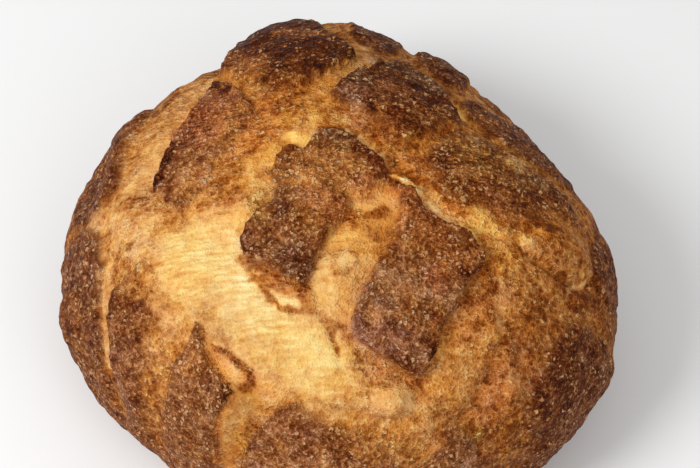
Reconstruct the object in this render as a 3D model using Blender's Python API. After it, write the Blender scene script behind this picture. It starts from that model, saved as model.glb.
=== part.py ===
"""Round crusty hearth loaf, scored with a grid of deep cuts before it was baked.

The loaf is one solid. Its base form is a turned profile, from the crown over the
bulge to a flat foot, whose radius changes with the bearing as a hand-shaped loaf's
does. On that form lies the skin: panels of old crust between the cuts, lifted with
torn lips where the dough burst, and the softer burst crust between them.

Places on the crust are given on the flattened skin, in millimetres from the crown:
u to the right and v to the back, so that a point's distance from the crown is the
length of crust between them and its bearing is the bearing on the loaf.
"""
import math

import bmesh
import bpy
import numpy as np
from mathutils import Vector, noise

MM = 0.001

# Base form, in millimetres
CROWN_HEIGHT = 119.0
BULGE_HEIGHT = 33.0
BULGE_RADIUS = 120.0
FOOT_RADIUS = 96.0
SHOULDER_POWER = 2.15
PROFILE_STEPS = 300
PLAN_RADII = (118, 105, 104.5, 109.5, 122, 121, 113, 119.5,
              121, 118.5, 112.5, 114, 119, 120, 121, 123)

# Burst crust between the panels, in millimetres
BURST_SINK = 2.6
BURST_SWELL = 2.4
BURST_SWELL_REACH = 12.0
WIDEST_GAP = 60.0
CUTS_FADE = (150.0, 180.0)

# Crust length over which every relief dies away towards the foot, in millimetres
FOOT_FADE = (180.0, 205.0)

# Torn lips of the panels, and how far in a panel's puff is full, in millimetres
LIP_RISE = 0.9
LIP_SET_BACK = 3.2
LIP_WIDTH = 3.2
LIP_GROOVE = 0.8
SHARP_SLOPE = 2.0
SOFT_SLOPE = 6.0
STEEPEST_SLOPE = 3.6
PUFF_REACH = 9.0

# Unevenness of the whole crust: wavelength and height in millimetres
WAVES = ((46.0, 1.3), (17.0, 0.7))
NOISE_ORIGIN = Vector((3.1, 7.4, 1.9))

# Faceting: the cage's lowest cap, in degrees from the crown, becomes the flat foot
CELLS_PER_CUBE_EDGE = 84
FOOT_CAP_STARTS = 140.0
FINISHED_TRIANGLES = 11400

CRUST_COLOUR = (0.33, 0.135, 0.045, 1.0)
CRUST_ROUGHNESS = 0.62

# Panels of old skin: rise of the edge, puff of the middle, then the outline as
# (u, v, slope), where slope is the width over which that stretch of edge falls away
PANELS = {
    "crown": (3.0, 1.0, (
        (-27, 0, 3), (-25, 8, 2), (-21, 13, 2), (-17, 10, 2), (-10, 17, 2), (-4, 19, 2),
        (4, 16, 2), (11, 12, 2), (17, 7, 2), (20, 1, 3), (18, -6, 7), (10, -13, 9),
        (-4, -14, 9), (-18, -10, 7), (-27, -7, 4))),
    "heart": (3.8, 0.8, (
        (-30, -10, 3), (-34, -18, 2), (-39, -26, 2), (-43, -34, 2), (-41, -42, 2),
        (-34, -48, 2), (-25, -51, 2), (-16, -54, 2), (-12, -49, 2), (-9, -41, 2),
        (-5, -34, 3), (0, -27, 4), (4, -20, 5), (3, -13, 8), (-10, -10, 9), (-20, -9, 6))),
    "heart_under_lip": (1.6, 0.0, (
        (-43, -40, 2), (-39, -49, 2), (-33, -56, 2), (-27, -62, 2), (-20, -66, 2),
        (-12, -66, 2), (-8, -61, 2), (-12, -54, 2), (-25, -48, 2), (-36, -44, 2))),
    "great": (3.6, 1.0, (
        (22, -8, 3), (29, -10, 2), (33, -17, 2), (39, -22, 2), (46, -25, 2), (52, -28, 2),
        (58, -36, 2), (55, -43, 3), (50, -51, 4), (46, -59, 4), (42, -67, 3), (39, -77, 2),
        (35, -86, 2), (28, -87, 3), (20, -82, 4), (11, -78, 4), (5, -73, 3), (5, -66, 3),
        (8, -58, 4), (12, -49, 4), (16, -41, 4), (21, -32, 5), (24, -24, 6), (23, -16, 4))),
    "upper_left": (1.8, 1.2, (
        (-60, 67, 3), (-50, 57, 2), (-44, 48, 2), (-38, 38, 3), (-36, 32, 8),
        (-39, 22, 14), (-42, 10, 14), (-46, 0, 14), (-56, -8, 12), (-66, -16, 8),
        (-71, -10, 3), (-76, -4, 2), (-79, 3, 2), (-77, 13, 2), (-73, 25, 2),
        (-69, 40, 2), (-66, 52, 2))),
    "top_left": (3.4, 1.6, (
        (-59, 74, 3), (-48, 64, 8), (-38, 55, 12), (-28, 49, 10), (-18, 50, 6),
        (-9, 54, 4), (0, 58, 3), (5, 63, 2), (6, 70, 2), (2, 77, 2), (-4, 84, 3),
        (-8, 96, 4), (-14, 116, 6), (-26, 134, 8), (-52, 128, 6), (-56, 110, 3),
        (-54, 90, 3))),
    "top_right": (3.0, 1.6, (
        (22, 73, 4), (31, 76, 4), (42, 70, 4), (50, 62, 3), (56, 53, 3), (60, 45, 4),
        (60, 39, 8), (53, 33, 10), (45, 27, 10), (37, 20, 12), (28, 18, 12),
        (18, 24, 12), (8, 29, 10), (-4, 35, 6), (-2, 44, 3), (4, 52, 2), (10, 59, 2),
        (16, 66, 3))),
    "right": (1.6, 0.8, (
        (42, 14, 9), (50, 25, 8), (62, 32, 6), (76, 29, 5), (88, 21, 4), (104, 12, 6),
        (112, 0, 8), (106, -9, 8), (92, -8, 8), (78, -12, 8), (62, -12, 8), (50, -14, 8),
        (40, -7, 8), (38, 4, 8))),
    "right_rim": (1.4, 1.2, (
        (120, -10, 6), (132, 6, 6), (150, 0, 9), (156, -24, 9), (148, -46, 9),
        (134, -48, 8), (122, -36, 5), (117, -22, 5))),
    "right_back": (2.6, 1.2, (
        (62, 58, 5), (69, 45, 4), (82, 35, 4), (94, 28, 4), (110, 20, 6), (128, 28, 8),
        (132, 50, 9), (120, 66, 7), (100, 68, 5), (84, 70, 5), (72, 70, 5))),
    "back_far_right": (2.4, 1.4, (
        (84, 82, 5), (96, 80, 5), (112, 82, 6), (118, 96, 8), (104, 112, 9),
        (86, 118, 8), (80, 100, 5))),
    "back_right": (2.8, 1.6, (
        (37, 86, 4), (47, 78, 6), (58, 72, 6), (67, 80, 4), (71, 94, 4), (76, 116, 7),
        (66, 130, 9), (46, 126, 8), (40, 104, 4))),
    "back": (2.8, 1.6, (
        (6, 92, 4), (12, 86, 6), (22, 84, 6), (28, 88, 4), (31, 100, 4), (34, 120, 6),
        (30, 136, 9), (8, 136, 9), (4, 112, 5))),
    "back_left": (2.4, 1.4, (
        (-102, 80, 5), (-86, 88, 4), (-72, 100, 4), (-66, 118, 6), (-80, 132, 9),
        (-104, 118, 9), (-118, 98, 8))),
    "left_rim": (1.8, 1.2, (
        (-99, 10, 5), (-98, 25, 7), (-96, 40, 7), (-95, 54, 6), (-100, 66, 5),
        (-112, 76, 7), (-130, 66, 9), (-142, 42, 9), (-142, 18, 8), (-128, 7, 5),
        (-112, 4, 4))),
    "left_shoulder": (1.5, 1.0, (
        (-114, -5, 4), (-107, -13, 6), (-108, -23, 6), (-113, -33, 5), (-121, -44, 5),
        (-126, -60, 6), (-134, -76, 7), (-150, -72, 9), (-156, -40, 9), (-150, -10, 8),
        (-132, -2, 5))),
    "lower_left": (1.6, 1.2, (
        (-101, -39, 4), (-95, -44, 6), (-88, -51, 4), (-87, -58, 6), (-91, -68, 8),
        (-97, -80, 8), (-103, -94, 8), (-112, -110, 8), (-124, -118, 9), (-130, -108, 6),
        (-124, -96, 5), (-118, -82, 4), (-115, -69, 3), (-111, -56, 3), (-106, -46, 3))),
    "lower_middle": (2.0, 1.2, (
        (-66, -71, 4), (-60, -71, 5), (-58, -80, 4), (-55, -88, 3), (-48, -96, 2),
        (-52, -102, 3), (-58, -107, 3), (-61, -118, 3), (-64, -132, 4), (-74, -148, 8),
        (-98, -142, 9), (-106, -128, 9), (-99, -112, 8), (-89, -99, 6), (-82, -88, 4),
        (-75, -80, 3))),
    "front": (2.2, 1.4, (
        (-20, -101, 3), (-10, -103, 4), (0, -107, 5), (12, -110, 7), (21, -118, 8),
        (27, -132, 8), (20, -150, 9), (-20, -156, 9), (-48, -148, 8), (-52, -133, 4),
        (-43, -120, 3), (-35, -112, 2), (-28, -106, 2))),
    "front_right": (1.5, 1.0, (
        (46, -111, 6), (53, -106, 4), (63, -116, 5), (76, -128, 7), (74, -146, 9),
        (48, -152, 9), (37, -136, 8), (41, -121, 6))),
    "right_front": (1.8, 1.4, (
        (82, -66, 8), (92, -56, 8), (106, -53, 6), (124, -58, 7), (140, -72, 9),
        (136, -98, 9), (116, -118, 9), (96, -124, 9), (82, -112, 8), (76, -94, 6),
        (77, -78, 6))),
}

# Furrows: depth, half width, then the points (u, v)
FURROWS = (
    (2.0, 2.2, ((4, 19), (12, 15), (19, 10), (23, 4), (29, -3), (36, -11), (46, -19),
                (56, -23), (64, -26))),
    (1.8, 2.0, ((72, -28), (82, -34), (95, -38), (108, -37), (116, -30))),
    (1.4, 2.0, ((60, 58), (64, 48), (70, 40), (80, 32), (92, 24), (112, 15))),
    (1.6, 2.4, ((66, -60), (66, -74), (62, -88), (56, -100), (50, -108))),
    (2.4, 3.0, ((32, 84), (35, 96), (38, 112), (40, 134))),
    (2.4, 3.0, ((2, 84), (0, 98), (-4, 118), (-6, 138))),
    (2.4, 3.0, ((72, 74), (78, 84), (82, 104), (84, 126))),
    (2.0, 4.0, ((-62, 80), (-64, 96), (-62, 112), (-60, 130))),
    (1.0, 1.6, ((12, -92), (15, -90), (22, -89), (29, -91), (32, -98))),
    (1.0, 1.6, ((-8, -66), (-4, -72), (-1, -80), (1, -86))),
)

# Swellings: height, centre (u, v), half length, half width, turn in degrees. Each is
# flat-topped up to the first share of its half size and gone at the second
SWELLING_SHOULDER = (0.2, 1.25)
SWELLINGS = (
    (4.2, (95, -23), 24, 13, -4),
    (2.2, (22, -98), 10, 7, 5),
    (1.8, (-48, -87), 9, 6, -35),
    (1.6, (58, -108), 10, 5, -8),
    (2.6, (72, -82), 7, 24, 24),
    (1.6, (60, -66), 8, 20, 10),
    (1.4, (2, -46), 8, 12, -18),
    (2.0, (-62, -48), 34, 16, -24),
    (1.8, (-88, -8), 12, 14, 10),
)


def smoothstep(low, high, x):
    """0 below low, 1 above high, with a soft turn at both."""
    t = np.clip((x - low) / (high - low), 0.0, 1.0)
    return t * t * (3.0 - 2.0 * t)


def turned_profile(steps):
    """The profile from the crown to the rim of the foot: radius, height and crust length."""
    turn = np.linspace(0.0, math.pi / 2, steps)
    top_radius = BULGE_RADIUS * np.sin(turn) ** (2.0 / SHOULDER_POWER)
    top_height = (BULGE_HEIGHT
                  + (CROWN_HEIGHT - BULGE_HEIGHT) * np.cos(turn) ** (2.0 / SHOULDER_POWER))
    under_radius = FOOT_RADIUS + (BULGE_RADIUS - FOOT_RADIUS) * np.cos(turn[1:])
    under_height = BULGE_HEIGHT * (1.0 - np.sin(turn[1:]))
    radius = np.concatenate((top_radius, under_radius))
    height = np.concatenate((top_height, under_height))
    run = np.hypot(np.diff(radius), np.diff(height))
    length = np.concatenate(((0.0,), np.cumsum(run)))
    return radius, height, length


def plan_factor(bearing):
    """How far the loaf's plan stands from a circle at each bearing, as a smooth ring."""
    radii = np.array(PLAN_RADII) / BULGE_RADIUS
    place = np.mod(bearing, 2 * math.pi) * len(radii) / (2 * math.pi)
    first = np.floor(place).astype(int)
    t = place - first
    a, b, c, d = (radii[(first + k) % len(radii)] for k in (-1, 0, 1, 2))
    return 0.5 * (2 * b + (c - a) * t + (2 * a - 5 * b + 4 * c - d) * t ** 2
                  + (3 * b - a - 3 * c + d) * t ** 3)


def rounded_outline(rows, steps=4):
    """A closed smooth line through the rows, by the Catmull-Rom rule."""
    rows = np.array(rows, dtype=float)
    before = np.roll(rows, 1, axis=0)
    after = np.roll(rows, -1, axis=0)
    beyond = np.roll(rows, -2, axis=0)
    stretches = []
    for t in np.arange(steps) / steps:
        stretches.append(0.5 * (2 * rows + (after - before) * t
                                + (2 * before - 5 * rows + 4 * after - beyond) * t ** 2
                                + (3 * rows - before - 3 * after + beyond) * t ** 3))
    return np.stack(stretches, axis=1).reshape(-1, rows.shape[1])


def nearest_on_line(u, v, starts, ends):
    """Distance from each point to a chain of straight stretches, with the nearest
    stretch's number and the share of it that lies before the nearest place."""
    best = np.full(u.shape, np.inf)
    stretch = np.zeros(u.shape, dtype=int)
    share = np.zeros(u.shape)
    for number, (a, b) in enumerate(zip(starts, ends)):
        du, dv = b[0] - a[0], b[1] - a[1]
        t = np.clip(((u - a[0]) * du + (v - a[1]) * dv) / (du * du + dv * dv), 0.0, 1.0)
        distance = np.hypot(u - a[0] - t * du, v - a[1] - t * dv)
        nearer = distance < best
        best[nearer] = distance[nearer]
        stretch[nearer] = number
        share[nearer] = t[nearer]
    return best, stretch, share


def depth_in_panel(u, v, rows):
    """Distance inside the panel's edge, negative outside, and the slope of that edge."""
    line = rounded_outline(rows)
    after = np.roll(line, -1, axis=0)
    distance, stretch, share = nearest_on_line(u, v, line, after)
    slope = line[stretch, 2] * (1 - share) + after[stretch, 2] * share
    inside = np.zeros(u.shape, dtype=bool)
    for a, b in zip(line, after):
        crosses = (a[1] > v) != (b[1] > v)
        with np.errstate(divide="ignore", invalid="ignore"):
            at = a[0] + (v - a[1]) * (b[0] - a[0]) / (b[1] - a[1])
        inside ^= crosses & (u < at)
    return np.where(inside, distance, -distance), slope


def panel_relief(u, v):
    """Height of the panels above the burst crust, and the gap to the nearest panel."""
    height = np.zeros(u.shape)
    groove = np.zeros(u.shape)
    gap = np.full(u.shape, WIDEST_GAP)
    for rise, puff, rows in PANELS.values():
        depth, slope = depth_in_panel(u, v, rows)
        edge = smoothstep(-0.5, 0.5, depth / np.maximum(slope, STEEPEST_SLOPE))
        middle = 1.0 - np.exp(-np.maximum(depth, 0.0) / PUFF_REACH)
        sharp = 1.0 - smoothstep(SHARP_SLOPE, SOFT_SLOPE, slope)
        lip = LIP_RISE * sharp * np.exp(-((depth - LIP_SET_BACK) / LIP_WIDTH) ** 2)
        height = np.maximum(height, edge * (rise + puff * middle + lip))
        outside = np.minimum(depth, 0.0) / LIP_WIDTH
        groove = np.maximum(groove, sharp * np.exp(-outside ** 2) * (depth < 0.0))
        gap = np.minimum(gap, np.maximum(-depth, 0.0))
    return height - LIP_GROOVE * groove, gap


def furrow_relief(u, v):
    """Depth of the furrows, each a soft valley along its line."""
    sink = np.zeros(u.shape)
    for depth, half_width, points in FURROWS:
        distance, _, _ = nearest_on_line(u, v, points[:-1], points[1:])
        sink = np.maximum(sink, depth * np.exp(-(distance / half_width) ** 2))
    return -sink


def swelling_relief(u, v):
    """Height of the swellings, each a soft oval."""
    height = np.zeros(u.shape)
    for rise, (cu, cv), long_half, short_half, turn in SWELLINGS:
        c, s = math.cos(math.radians(turn)), math.sin(math.radians(turn))
        along = ((u - cu) * c + (v - cv) * s) / long_half
        across = ((v - cv) * c - (u - cu) * s) / short_half
        height += rise * (1.0 - smoothstep(*SWELLING_SHOULDER, np.hypot(along, across)))
    return height


def crust_relief(u, v, length):
    """Everything that the crust adds to the base form, in millimetres along its normal."""
    panels, gap = panel_relief(u, v)
    cut_zone = 1.0 - smoothstep(*CUTS_FADE, length)
    burst = BURST_SWELL * (1.0 - np.exp(-gap / BURST_SWELL_REACH)) - BURST_SINK
    relief = panels + burst + furrow_relief(u, v) + swelling_relief(u, v)
    return relief * cut_zone


def wave_relief(points):
    """Slow unevenness of hand-shaped dough at each point, in millimetres."""
    height = np.zeros(len(points))
    for wavelength, rise in WAVES:
        for i, point in enumerate(points):
            height[i] += rise * noise.noise(Vector(point) / wavelength + NOISE_ORIGIN)
    return height


def round_cage(cells):
    """A cube cut into even cells and blown up to a unit sphere."""
    cage = bmesh.new()
    bmesh.ops.create_cube(cage, size=2.0)
    bmesh.ops.subdivide_edges(cage, edges=cage.edges[:], cuts=cells - 1, use_grid_fill=True)
    for vertex in cage.verts:
        x, y, z = (math.tan(c * math.pi / 4) for c in vertex.co)
        vertex.co = Vector((x, y, z)).normalized()
    return cage


def lay_on_form(directions):
    """Carry the points of a unit sphere to the base form.

    Returns the points, their normals, their places (u, v) on the skin and the length
    of crust to the crown. The sphere's lowest cap becomes the flat foot.
    """
    radius, height, length = turned_profile(PROFILE_STEPS)
    foot_cap = math.radians(FOOT_CAP_STARTS)
    fall = np.arccos(np.clip(directions[:, 2], -1.0, 1.0))
    bearing = np.arctan2(directions[:, 1], directions[:, 0])
    crust = np.minimum(fall / foot_cap, 1.0) * length[-1]
    r = np.interp(crust, length, radius)
    z = np.interp(crust, length, height)
    on_foot = fall > foot_cap
    r = np.where(on_foot, FOOT_RADIUS * (math.pi - fall) / (math.pi - foot_cap), r)
    stretch = plan_factor(bearing)
    points = np.stack((r * stretch * np.cos(bearing), r * stretch * np.sin(bearing), z), axis=1)
    step = 0.5
    ahead = np.interp(crust + step, length, radius) - np.interp(crust - step, length, radius)
    drop = np.interp(crust - step, length, height) - np.interp(crust + step, length, height)
    steepness = np.hypot(ahead, drop)
    out = drop / steepness
    up = ahead / steepness
    normals = np.stack((out * np.cos(bearing), out * np.sin(bearing), up), axis=1)
    normals[on_foot] = (0.0, 0.0, -1.0)
    return points, normals, crust * np.cos(bearing), crust * np.sin(bearing), crust


def crust_material():
    material = bpy.data.materials.new("baked_crust")
    material.use_nodes = True
    shader = material.node_tree.nodes["Principled BSDF"]
    shader.inputs["Base Color"].default_value = CRUST_COLOUR
    shader.inputs["Roughness"].default_value = CRUST_ROUGHNESS
    shader.inputs["Metallic"].default_value = 0.0
    return material


def build_loaf(collection):
    cage = round_cage(CELLS_PER_CUBE_EDGE)
    mesh = bpy.data.meshes.new("loaf")
    cage.to_mesh(mesh)
    cage.free()
    directions = np.empty(len(mesh.vertices) * 3)
    mesh.vertices.foreach_get("co", directions)
    points, normals, u, v, crust = lay_on_form(directions.reshape(-1, 3))
    foot_fade = 1.0 - smoothstep(*FOOT_FADE, crust)
    relief = (crust_relief(u, v, crust) + wave_relief(points)) * foot_fade
    points = points + normals * relief[:, None]
    points[:, 2] = np.maximum(points[:, 2], 0.0)
    middle = (points.min(axis=0) + points.max(axis=0)) / 2
    points[:, :2] -= middle[:2]
    mesh.vertices.foreach_set("co", (points * MM).ravel())
    mesh.shade_smooth()
    mesh.materials.append(crust_material())
    loaf = bpy.data.objects.new("loaf", mesh)
    collection.objects.link(loaf)
    faceting = loaf.modifiers.new("faceting", "DECIMATE")
    faceting.ratio = FINISHED_TRIANGLES / (12 * CELLS_PER_CUBE_EDGE ** 2)
    return loaf


for thing in list(bpy.data.objects):
    bpy.data.objects.remove(thing)

hearth_loaf = bpy.data.collections.new("hearth_loaf")
bpy.context.scene.collection.children.link(hearth_loaf)
build_loaf(hearth_loaf)
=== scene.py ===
import math

import bmesh
import bpy
import numpy as np
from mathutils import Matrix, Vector, noise


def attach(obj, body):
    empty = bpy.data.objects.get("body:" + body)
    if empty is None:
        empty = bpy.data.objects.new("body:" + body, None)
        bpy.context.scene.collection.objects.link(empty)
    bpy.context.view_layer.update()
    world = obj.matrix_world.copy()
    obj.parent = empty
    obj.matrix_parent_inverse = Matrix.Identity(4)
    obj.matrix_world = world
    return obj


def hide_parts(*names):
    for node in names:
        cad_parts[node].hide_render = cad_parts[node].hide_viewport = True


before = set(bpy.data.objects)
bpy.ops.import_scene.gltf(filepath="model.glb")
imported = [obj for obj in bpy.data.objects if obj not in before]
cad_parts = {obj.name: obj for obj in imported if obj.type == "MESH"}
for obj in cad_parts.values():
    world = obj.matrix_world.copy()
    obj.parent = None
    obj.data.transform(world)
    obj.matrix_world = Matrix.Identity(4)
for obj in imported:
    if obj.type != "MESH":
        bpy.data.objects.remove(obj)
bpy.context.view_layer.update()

# Shaped dough
# The loaf is a ball of dough proved in a round basket and baked on a stone. Its form is
# a turned profile, crown to bulge to flat foot, whose radius changes with the bearing.
# Places on the crust are given on the flattened skin, in millimetres from the crown:
# u to the right and v to the back, so that their length is the length of crust.

MM = 0.001
CROWN_HEIGHT = 119.0
BULGE_HEIGHT = 33.0
BULGE_RADIUS = 120.0
FOOT_RADIUS = 96.0
SHOULDER_POWER = 2.15
PROFILE_STEPS = 400
NORMAL_STEP = 0.8
PLAN_RADII = (118, 105, 104.5, 109.5, 122, 121, 113, 119.5,
              121, 118.5, 112.5, 114, 119, 120, 121, 123)
DOUGH_WAVES = ((46.0, 1.3), (17.0, 0.7))
NOISE_ORIGIN = np.array((3.1, 7.4, 1.9))


def smoothstep(low, high, x):
    """0 below low, 1 above high, with a soft turn at both."""
    t = np.clip((x - low) / (high - low), 0.0, 1.0)
    return t * t * (3.0 - 2.0 * t)


def noise_at(places, wavelength, origin=NOISE_ORIGIN):
    """Smooth noise, about -0.5 to 0.5, at rows of places in millimetres."""
    rows = (places / wavelength + origin).tolist()
    return np.array([noise.noise(row) for row in rows])


def turned_profile():
    """The profile from the crown to the middle of the foot: radius, height, crust length."""
    turn = np.linspace(0.0, math.pi / 2, PROFILE_STEPS)
    top_radius = BULGE_RADIUS * np.sin(turn) ** (2.0 / SHOULDER_POWER)
    top_height = (BULGE_HEIGHT
                  + (CROWN_HEIGHT - BULGE_HEIGHT) * np.cos(turn) ** (2.0 / SHOULDER_POWER))
    under_radius = FOOT_RADIUS + (BULGE_RADIUS - FOOT_RADIUS) * np.cos(turn[1:])
    under_height = BULGE_HEIGHT * (1.0 - np.sin(turn[1:]))
    radius = np.concatenate((top_radius, under_radius, (0.0,)))
    height = np.concatenate((top_height, under_height, (0.0,)))
    length = np.concatenate(((0.0,), np.cumsum(np.hypot(np.diff(radius), np.diff(height)))))
    return radius, height, length


PROFILE_RADIUS, PROFILE_HEIGHT, PROFILE_LENGTH = turned_profile()
FOOT_RIM = PROFILE_LENGTH[-2]
FOOT_MIDDLE = PROFILE_LENGTH[-1]


def plan_factor(bearing):
    """How far the plan stands from a circle at each bearing, as a smooth ring."""
    radii = np.array(PLAN_RADII) / BULGE_RADIUS
    place = np.mod(bearing, 2 * math.pi) * len(radii) / (2 * math.pi)
    first = np.floor(place).astype(int)
    t = place - first
    a, b, c, d = (radii[(first + k) % len(radii)] for k in (-1, 0, 1, 2))
    return 0.5 * (2 * b + (c - a) * t + (2 * a - 5 * b + 4 * c - d) * t ** 2
                  + (3 * b - a - 3 * c + d) * t ** 3)


def form_at(u, v):
    """Points of the bare form and their normals, in millimetres, at places on the skin."""
    crust = np.hypot(u, v)
    bearing = np.arctan2(v, u)
    radius = np.interp(crust, PROFILE_LENGTH, PROFILE_RADIUS) * plan_factor(bearing)
    height = np.interp(crust, PROFILE_LENGTH, PROFILE_HEIGHT)
    points = np.stack((radius * np.cos(bearing), radius * np.sin(bearing), height), axis=1)
    before, after = crust - NORMAL_STEP, crust + NORMAL_STEP
    run = (np.interp(after, PROFILE_LENGTH, PROFILE_RADIUS)
           - np.interp(before, PROFILE_LENGTH, PROFILE_RADIUS))
    drop = (np.interp(before, PROFILE_LENGTH, PROFILE_HEIGHT)
            - np.interp(after, PROFILE_LENGTH, PROFILE_HEIGHT))
    steepness = np.maximum(np.hypot(run, drop), 1e-9)
    out = drop / steepness
    normals = np.stack((out * np.cos(bearing), out * np.sin(bearing), run / steepness), axis=1)
    return points, normals


# Panels of old skin
# The grid of cuts leaves islands of the dough's first skin. They brown the most, and
# where the dough burst they lift with a torn lip. Each has the rise of its edge, the
# puff of its middle, its tone (30 charred, 200 cream) and its outline as (u, v, slope),
# where slope is the width over which that stretch of edge falls away.

PANELS = {
    "crown": (3.0, 1.0, 104, (
        (-27, 0, 3), (-25, 7, 2), (-21, 11, 2), (-15, 8, 2), (-11, 15, 2), (-4, 19, 2),
        (4, 16, 2), (11, 12, 2), (17, 6, 2), (19, 1, 3), (17, -6, 6), (10, -13, 9),
        (-4, -14, 9), (-18, -10, 7), (-27, -7, 4))),
    "heart": (3.8, 0.8, 97, (
        (-26, -10, 6), (-29, -17, 4), (-35, -22, 2), (-40, -28, 2), (-43, -34, 2),
        (-41, -39, 2), (-34, -44, 2), (-26, -49, 2), (-16, -54, 2), (-12, -49, 2),
        (-9, -41, 2), (-5, -34, 3), (0, -27, 4), (4, -20, 5), (3, -13, 9), (-10, -9, 12),
        (-20, -8, 12))),
    "great": (3.6, 1.0, 97, (
        (22, -8, 3), (29, -10, 2), (33, -17, 2), (39, -22, 2), (46, -25, 2), (52, -28, 2),
        (58, -36, 2), (55, -43, 3), (50, -51, 4), (46, -59, 4), (42, -67, 3), (39, -77, 2),
        (35, -86, 2), (28, -87, 3), (20, -82, 4), (11, -78, 4), (5, -73, 3), (5, -66, 3),
        (8, -58, 4), (12, -49, 4), (16, -41, 4), (21, -32, 5), (24, -24, 6), (23, -16, 4))),
    "upper_left": (1.8, 1.2, 112, (
        (-60, 67, 3), (-50, 57, 2), (-44, 48, 2), (-39, 38, 3), (-38, 31, 8),
        (-41, 22, 12), (-45, 12, 11), (-50, 4, 9), (-56, -4, 8), (-62, -12, 7),
        (-67, -16, 6), (-71, -9, 3), (-76, -4, 2), (-80, 3, 2), (-77, 13, 2), (-73, 25, 2),
        (-69, 40, 2), (-66, 52, 2))),
    "top_left": (3.4, 1.6, 47, (
        (-57, 74, 3), (-48, 64, 8), (-38, 55, 10), (-28, 46, 10), (-18, 45, 8),
        (-9, 51, 4), (0, 58, 3), (5, 63, 2), (6, 70, 2), (2, 77, 2), (-4, 84, 3),
        (-8, 96, 4), (-14, 116, 6), (-26, 134, 8), (-52, 128, 6), (-55, 110, 3),
        (-53, 90, 3))),
    "top_right": (3.0, 1.6, 73, (
        (22, 73, 4), (31, 76, 4), (42, 70, 4), (50, 62, 3), (56, 53, 3), (60, 45, 4),
        (60, 39, 8), (53, 33, 10), (45, 27, 10), (37, 20, 12), (28, 18, 12),
        (18, 26, 12), (8, 32, 10), (-4, 37, 6), (-2, 44, 3), (4, 52, 2), (10, 59, 2),
        (16, 66, 3))),
    "right": (1.6, 0.8, 93, (
        (42, 14, 9), (50, 25, 8), (62, 32, 6), (76, 29, 5), (88, 21, 4), (104, 12, 6),
        (112, 0, 8), (106, -9, 8), (92, -9, 8), (80, -14, 8), (70, -20, 7), (60, -15, 8),
        (50, -13, 8), (40, -7, 8), (38, 4, 8))),
    "right_rim": (1.4, 1.2, 73, (
        (120, -10, 6), (132, 6, 6), (150, 0, 9), (156, -24, 9), (148, -46, 9),
        (134, -48, 8), (122, -36, 5), (117, -22, 5))),
    "right_back": (0.7, 0.3, 79, (
        (62, 58, 5), (69, 45, 4), (82, 35, 4), (94, 28, 4), (110, 20, 6), (128, 28, 8),
        (132, 50, 9), (120, 66, 7), (100, 68, 5), (84, 70, 5), (72, 70, 5))),
    "back_far_right": (1.0, 0.6, 76, (
        (88, 90, 6), (100, 86, 6), (116, 86, 7), (122, 98, 8), (108, 116, 9),
        (90, 122, 8), (84, 106, 6))),
    "back_right": (2.0, 1.0, 68, (
        (37, 86, 4), (47, 78, 6), (58, 72, 6), (67, 80, 4), (71, 94, 4), (76, 116, 7),
        (66, 130, 9), (46, 126, 8), (40, 104, 4))),
    "back": (0.9, 0.6, 68, (
        (6, 92, 4), (12, 86, 6), (22, 84, 6), (28, 88, 4), (31, 100, 4), (34, 120, 6),
        (30, 136, 9), (8, 136, 9), (4, 112, 5))),
    "back_left": (0.8, 0.6, 78, (
        (-112, 88, 7), (-94, 99, 6), (-80, 111, 6), (-74, 126, 7), (-86, 138, 9),
        (-108, 128, 9), (-126, 104, 9))),
    "left_rim": (1.8, 1.2, 80, (
        (-99, 10, 5), (-98, 25, 7), (-95, 40, 7), (-92, 54, 6), (-94, 66, 5),
        (-108, 76, 7), (-130, 66, 9), (-142, 42, 9), (-142, 18, 8), (-128, 7, 5),
        (-112, 4, 4))),
    "left_shoulder": (1.5, 1.0, 83, (
        (-114, -5, 4), (-107, -13, 6), (-107, -23, 6), (-110, -34, 4), (-113, -45, 3),
        (-118, -58, 3), (-122, -70, 4), (-127, -84, 6), (-136, -100, 9), (-164, -90, 9),
        (-170, -40, 9), (-164, -4, 8), (-132, 0, 5))),
    "lower_left": (1.6, 1.2, 86, (
        (-101, -39, 4), (-95, -44, 6), (-88, -51, 4), (-87, -58, 6), (-91, -68, 8),
        (-97, -80, 8), (-103, -94, 8), (-112, -110, 8), (-124, -118, 9), (-130, -108, 6),
        (-124, -96, 5), (-118, -82, 4), (-115, -69, 3), (-111, -56, 3), (-106, -46, 3))),
    "lower_middle": (2.0, 1.2, 95, (
        (-69, -74, 3), (-65, -68, 2), (-62, -68, 2), (-61, -74, 3), (-59, -81, 3),
        (-57, -85, 3), (-53, -90, 2), (-48, -96, 2), (-52, -102, 3), (-58, -107, 3),
        (-61, -118, 3), (-64, -132, 4), (-74, -148, 8), (-98, -142, 9), (-106, -128, 9),
        (-99, -112, 8), (-89, -99, 6), (-82, -88, 4), (-75, -81, 3))),
    "front": (2.2, 1.4, 104, (
        (-20, -101, 3), (-13, -104, 6), (-4, -108, 9), (6, -111, 9), (14, -114, 9),
        (21, -120, 9), (27, -132, 8), (20, -150, 9), (-20, -156, 9), (-48, -148, 8),
        (-52, -133, 4), (-43, -120, 3), (-35, -112, 2), (-28, -106, 2))),
    "front_right": (1.5, 1.0, 99, (
        (46, -111, 6), (53, -106, 4), (63, -116, 5), (76, -128, 7), (74, -146, 9),
        (48, -152, 9), (37, -136, 8), (41, -121, 6))),
    "right_front": (1.8, 1.4, 74, (
        (91, -64, 8), (98, -55, 8), (108, -53, 6), (124, -56, 7), (150, -62, 9),
        (156, -96, 9), (130, -130, 9), (98, -124, 9), (88, -110, 8), (86, -94, 6),
        (89, -78, 6))),
}
LIP_RISE = 0.9
LIP_SET_BACK = 2.2
LIP_WIDTH = 2.2
LIP_GROOVE = 1.0
SHARP_SLOPE = 2.0
SOFT_SLOPE = 6.0
PUFF_REACH = 9.0
WIDEST_GAP = 60.0
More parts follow.
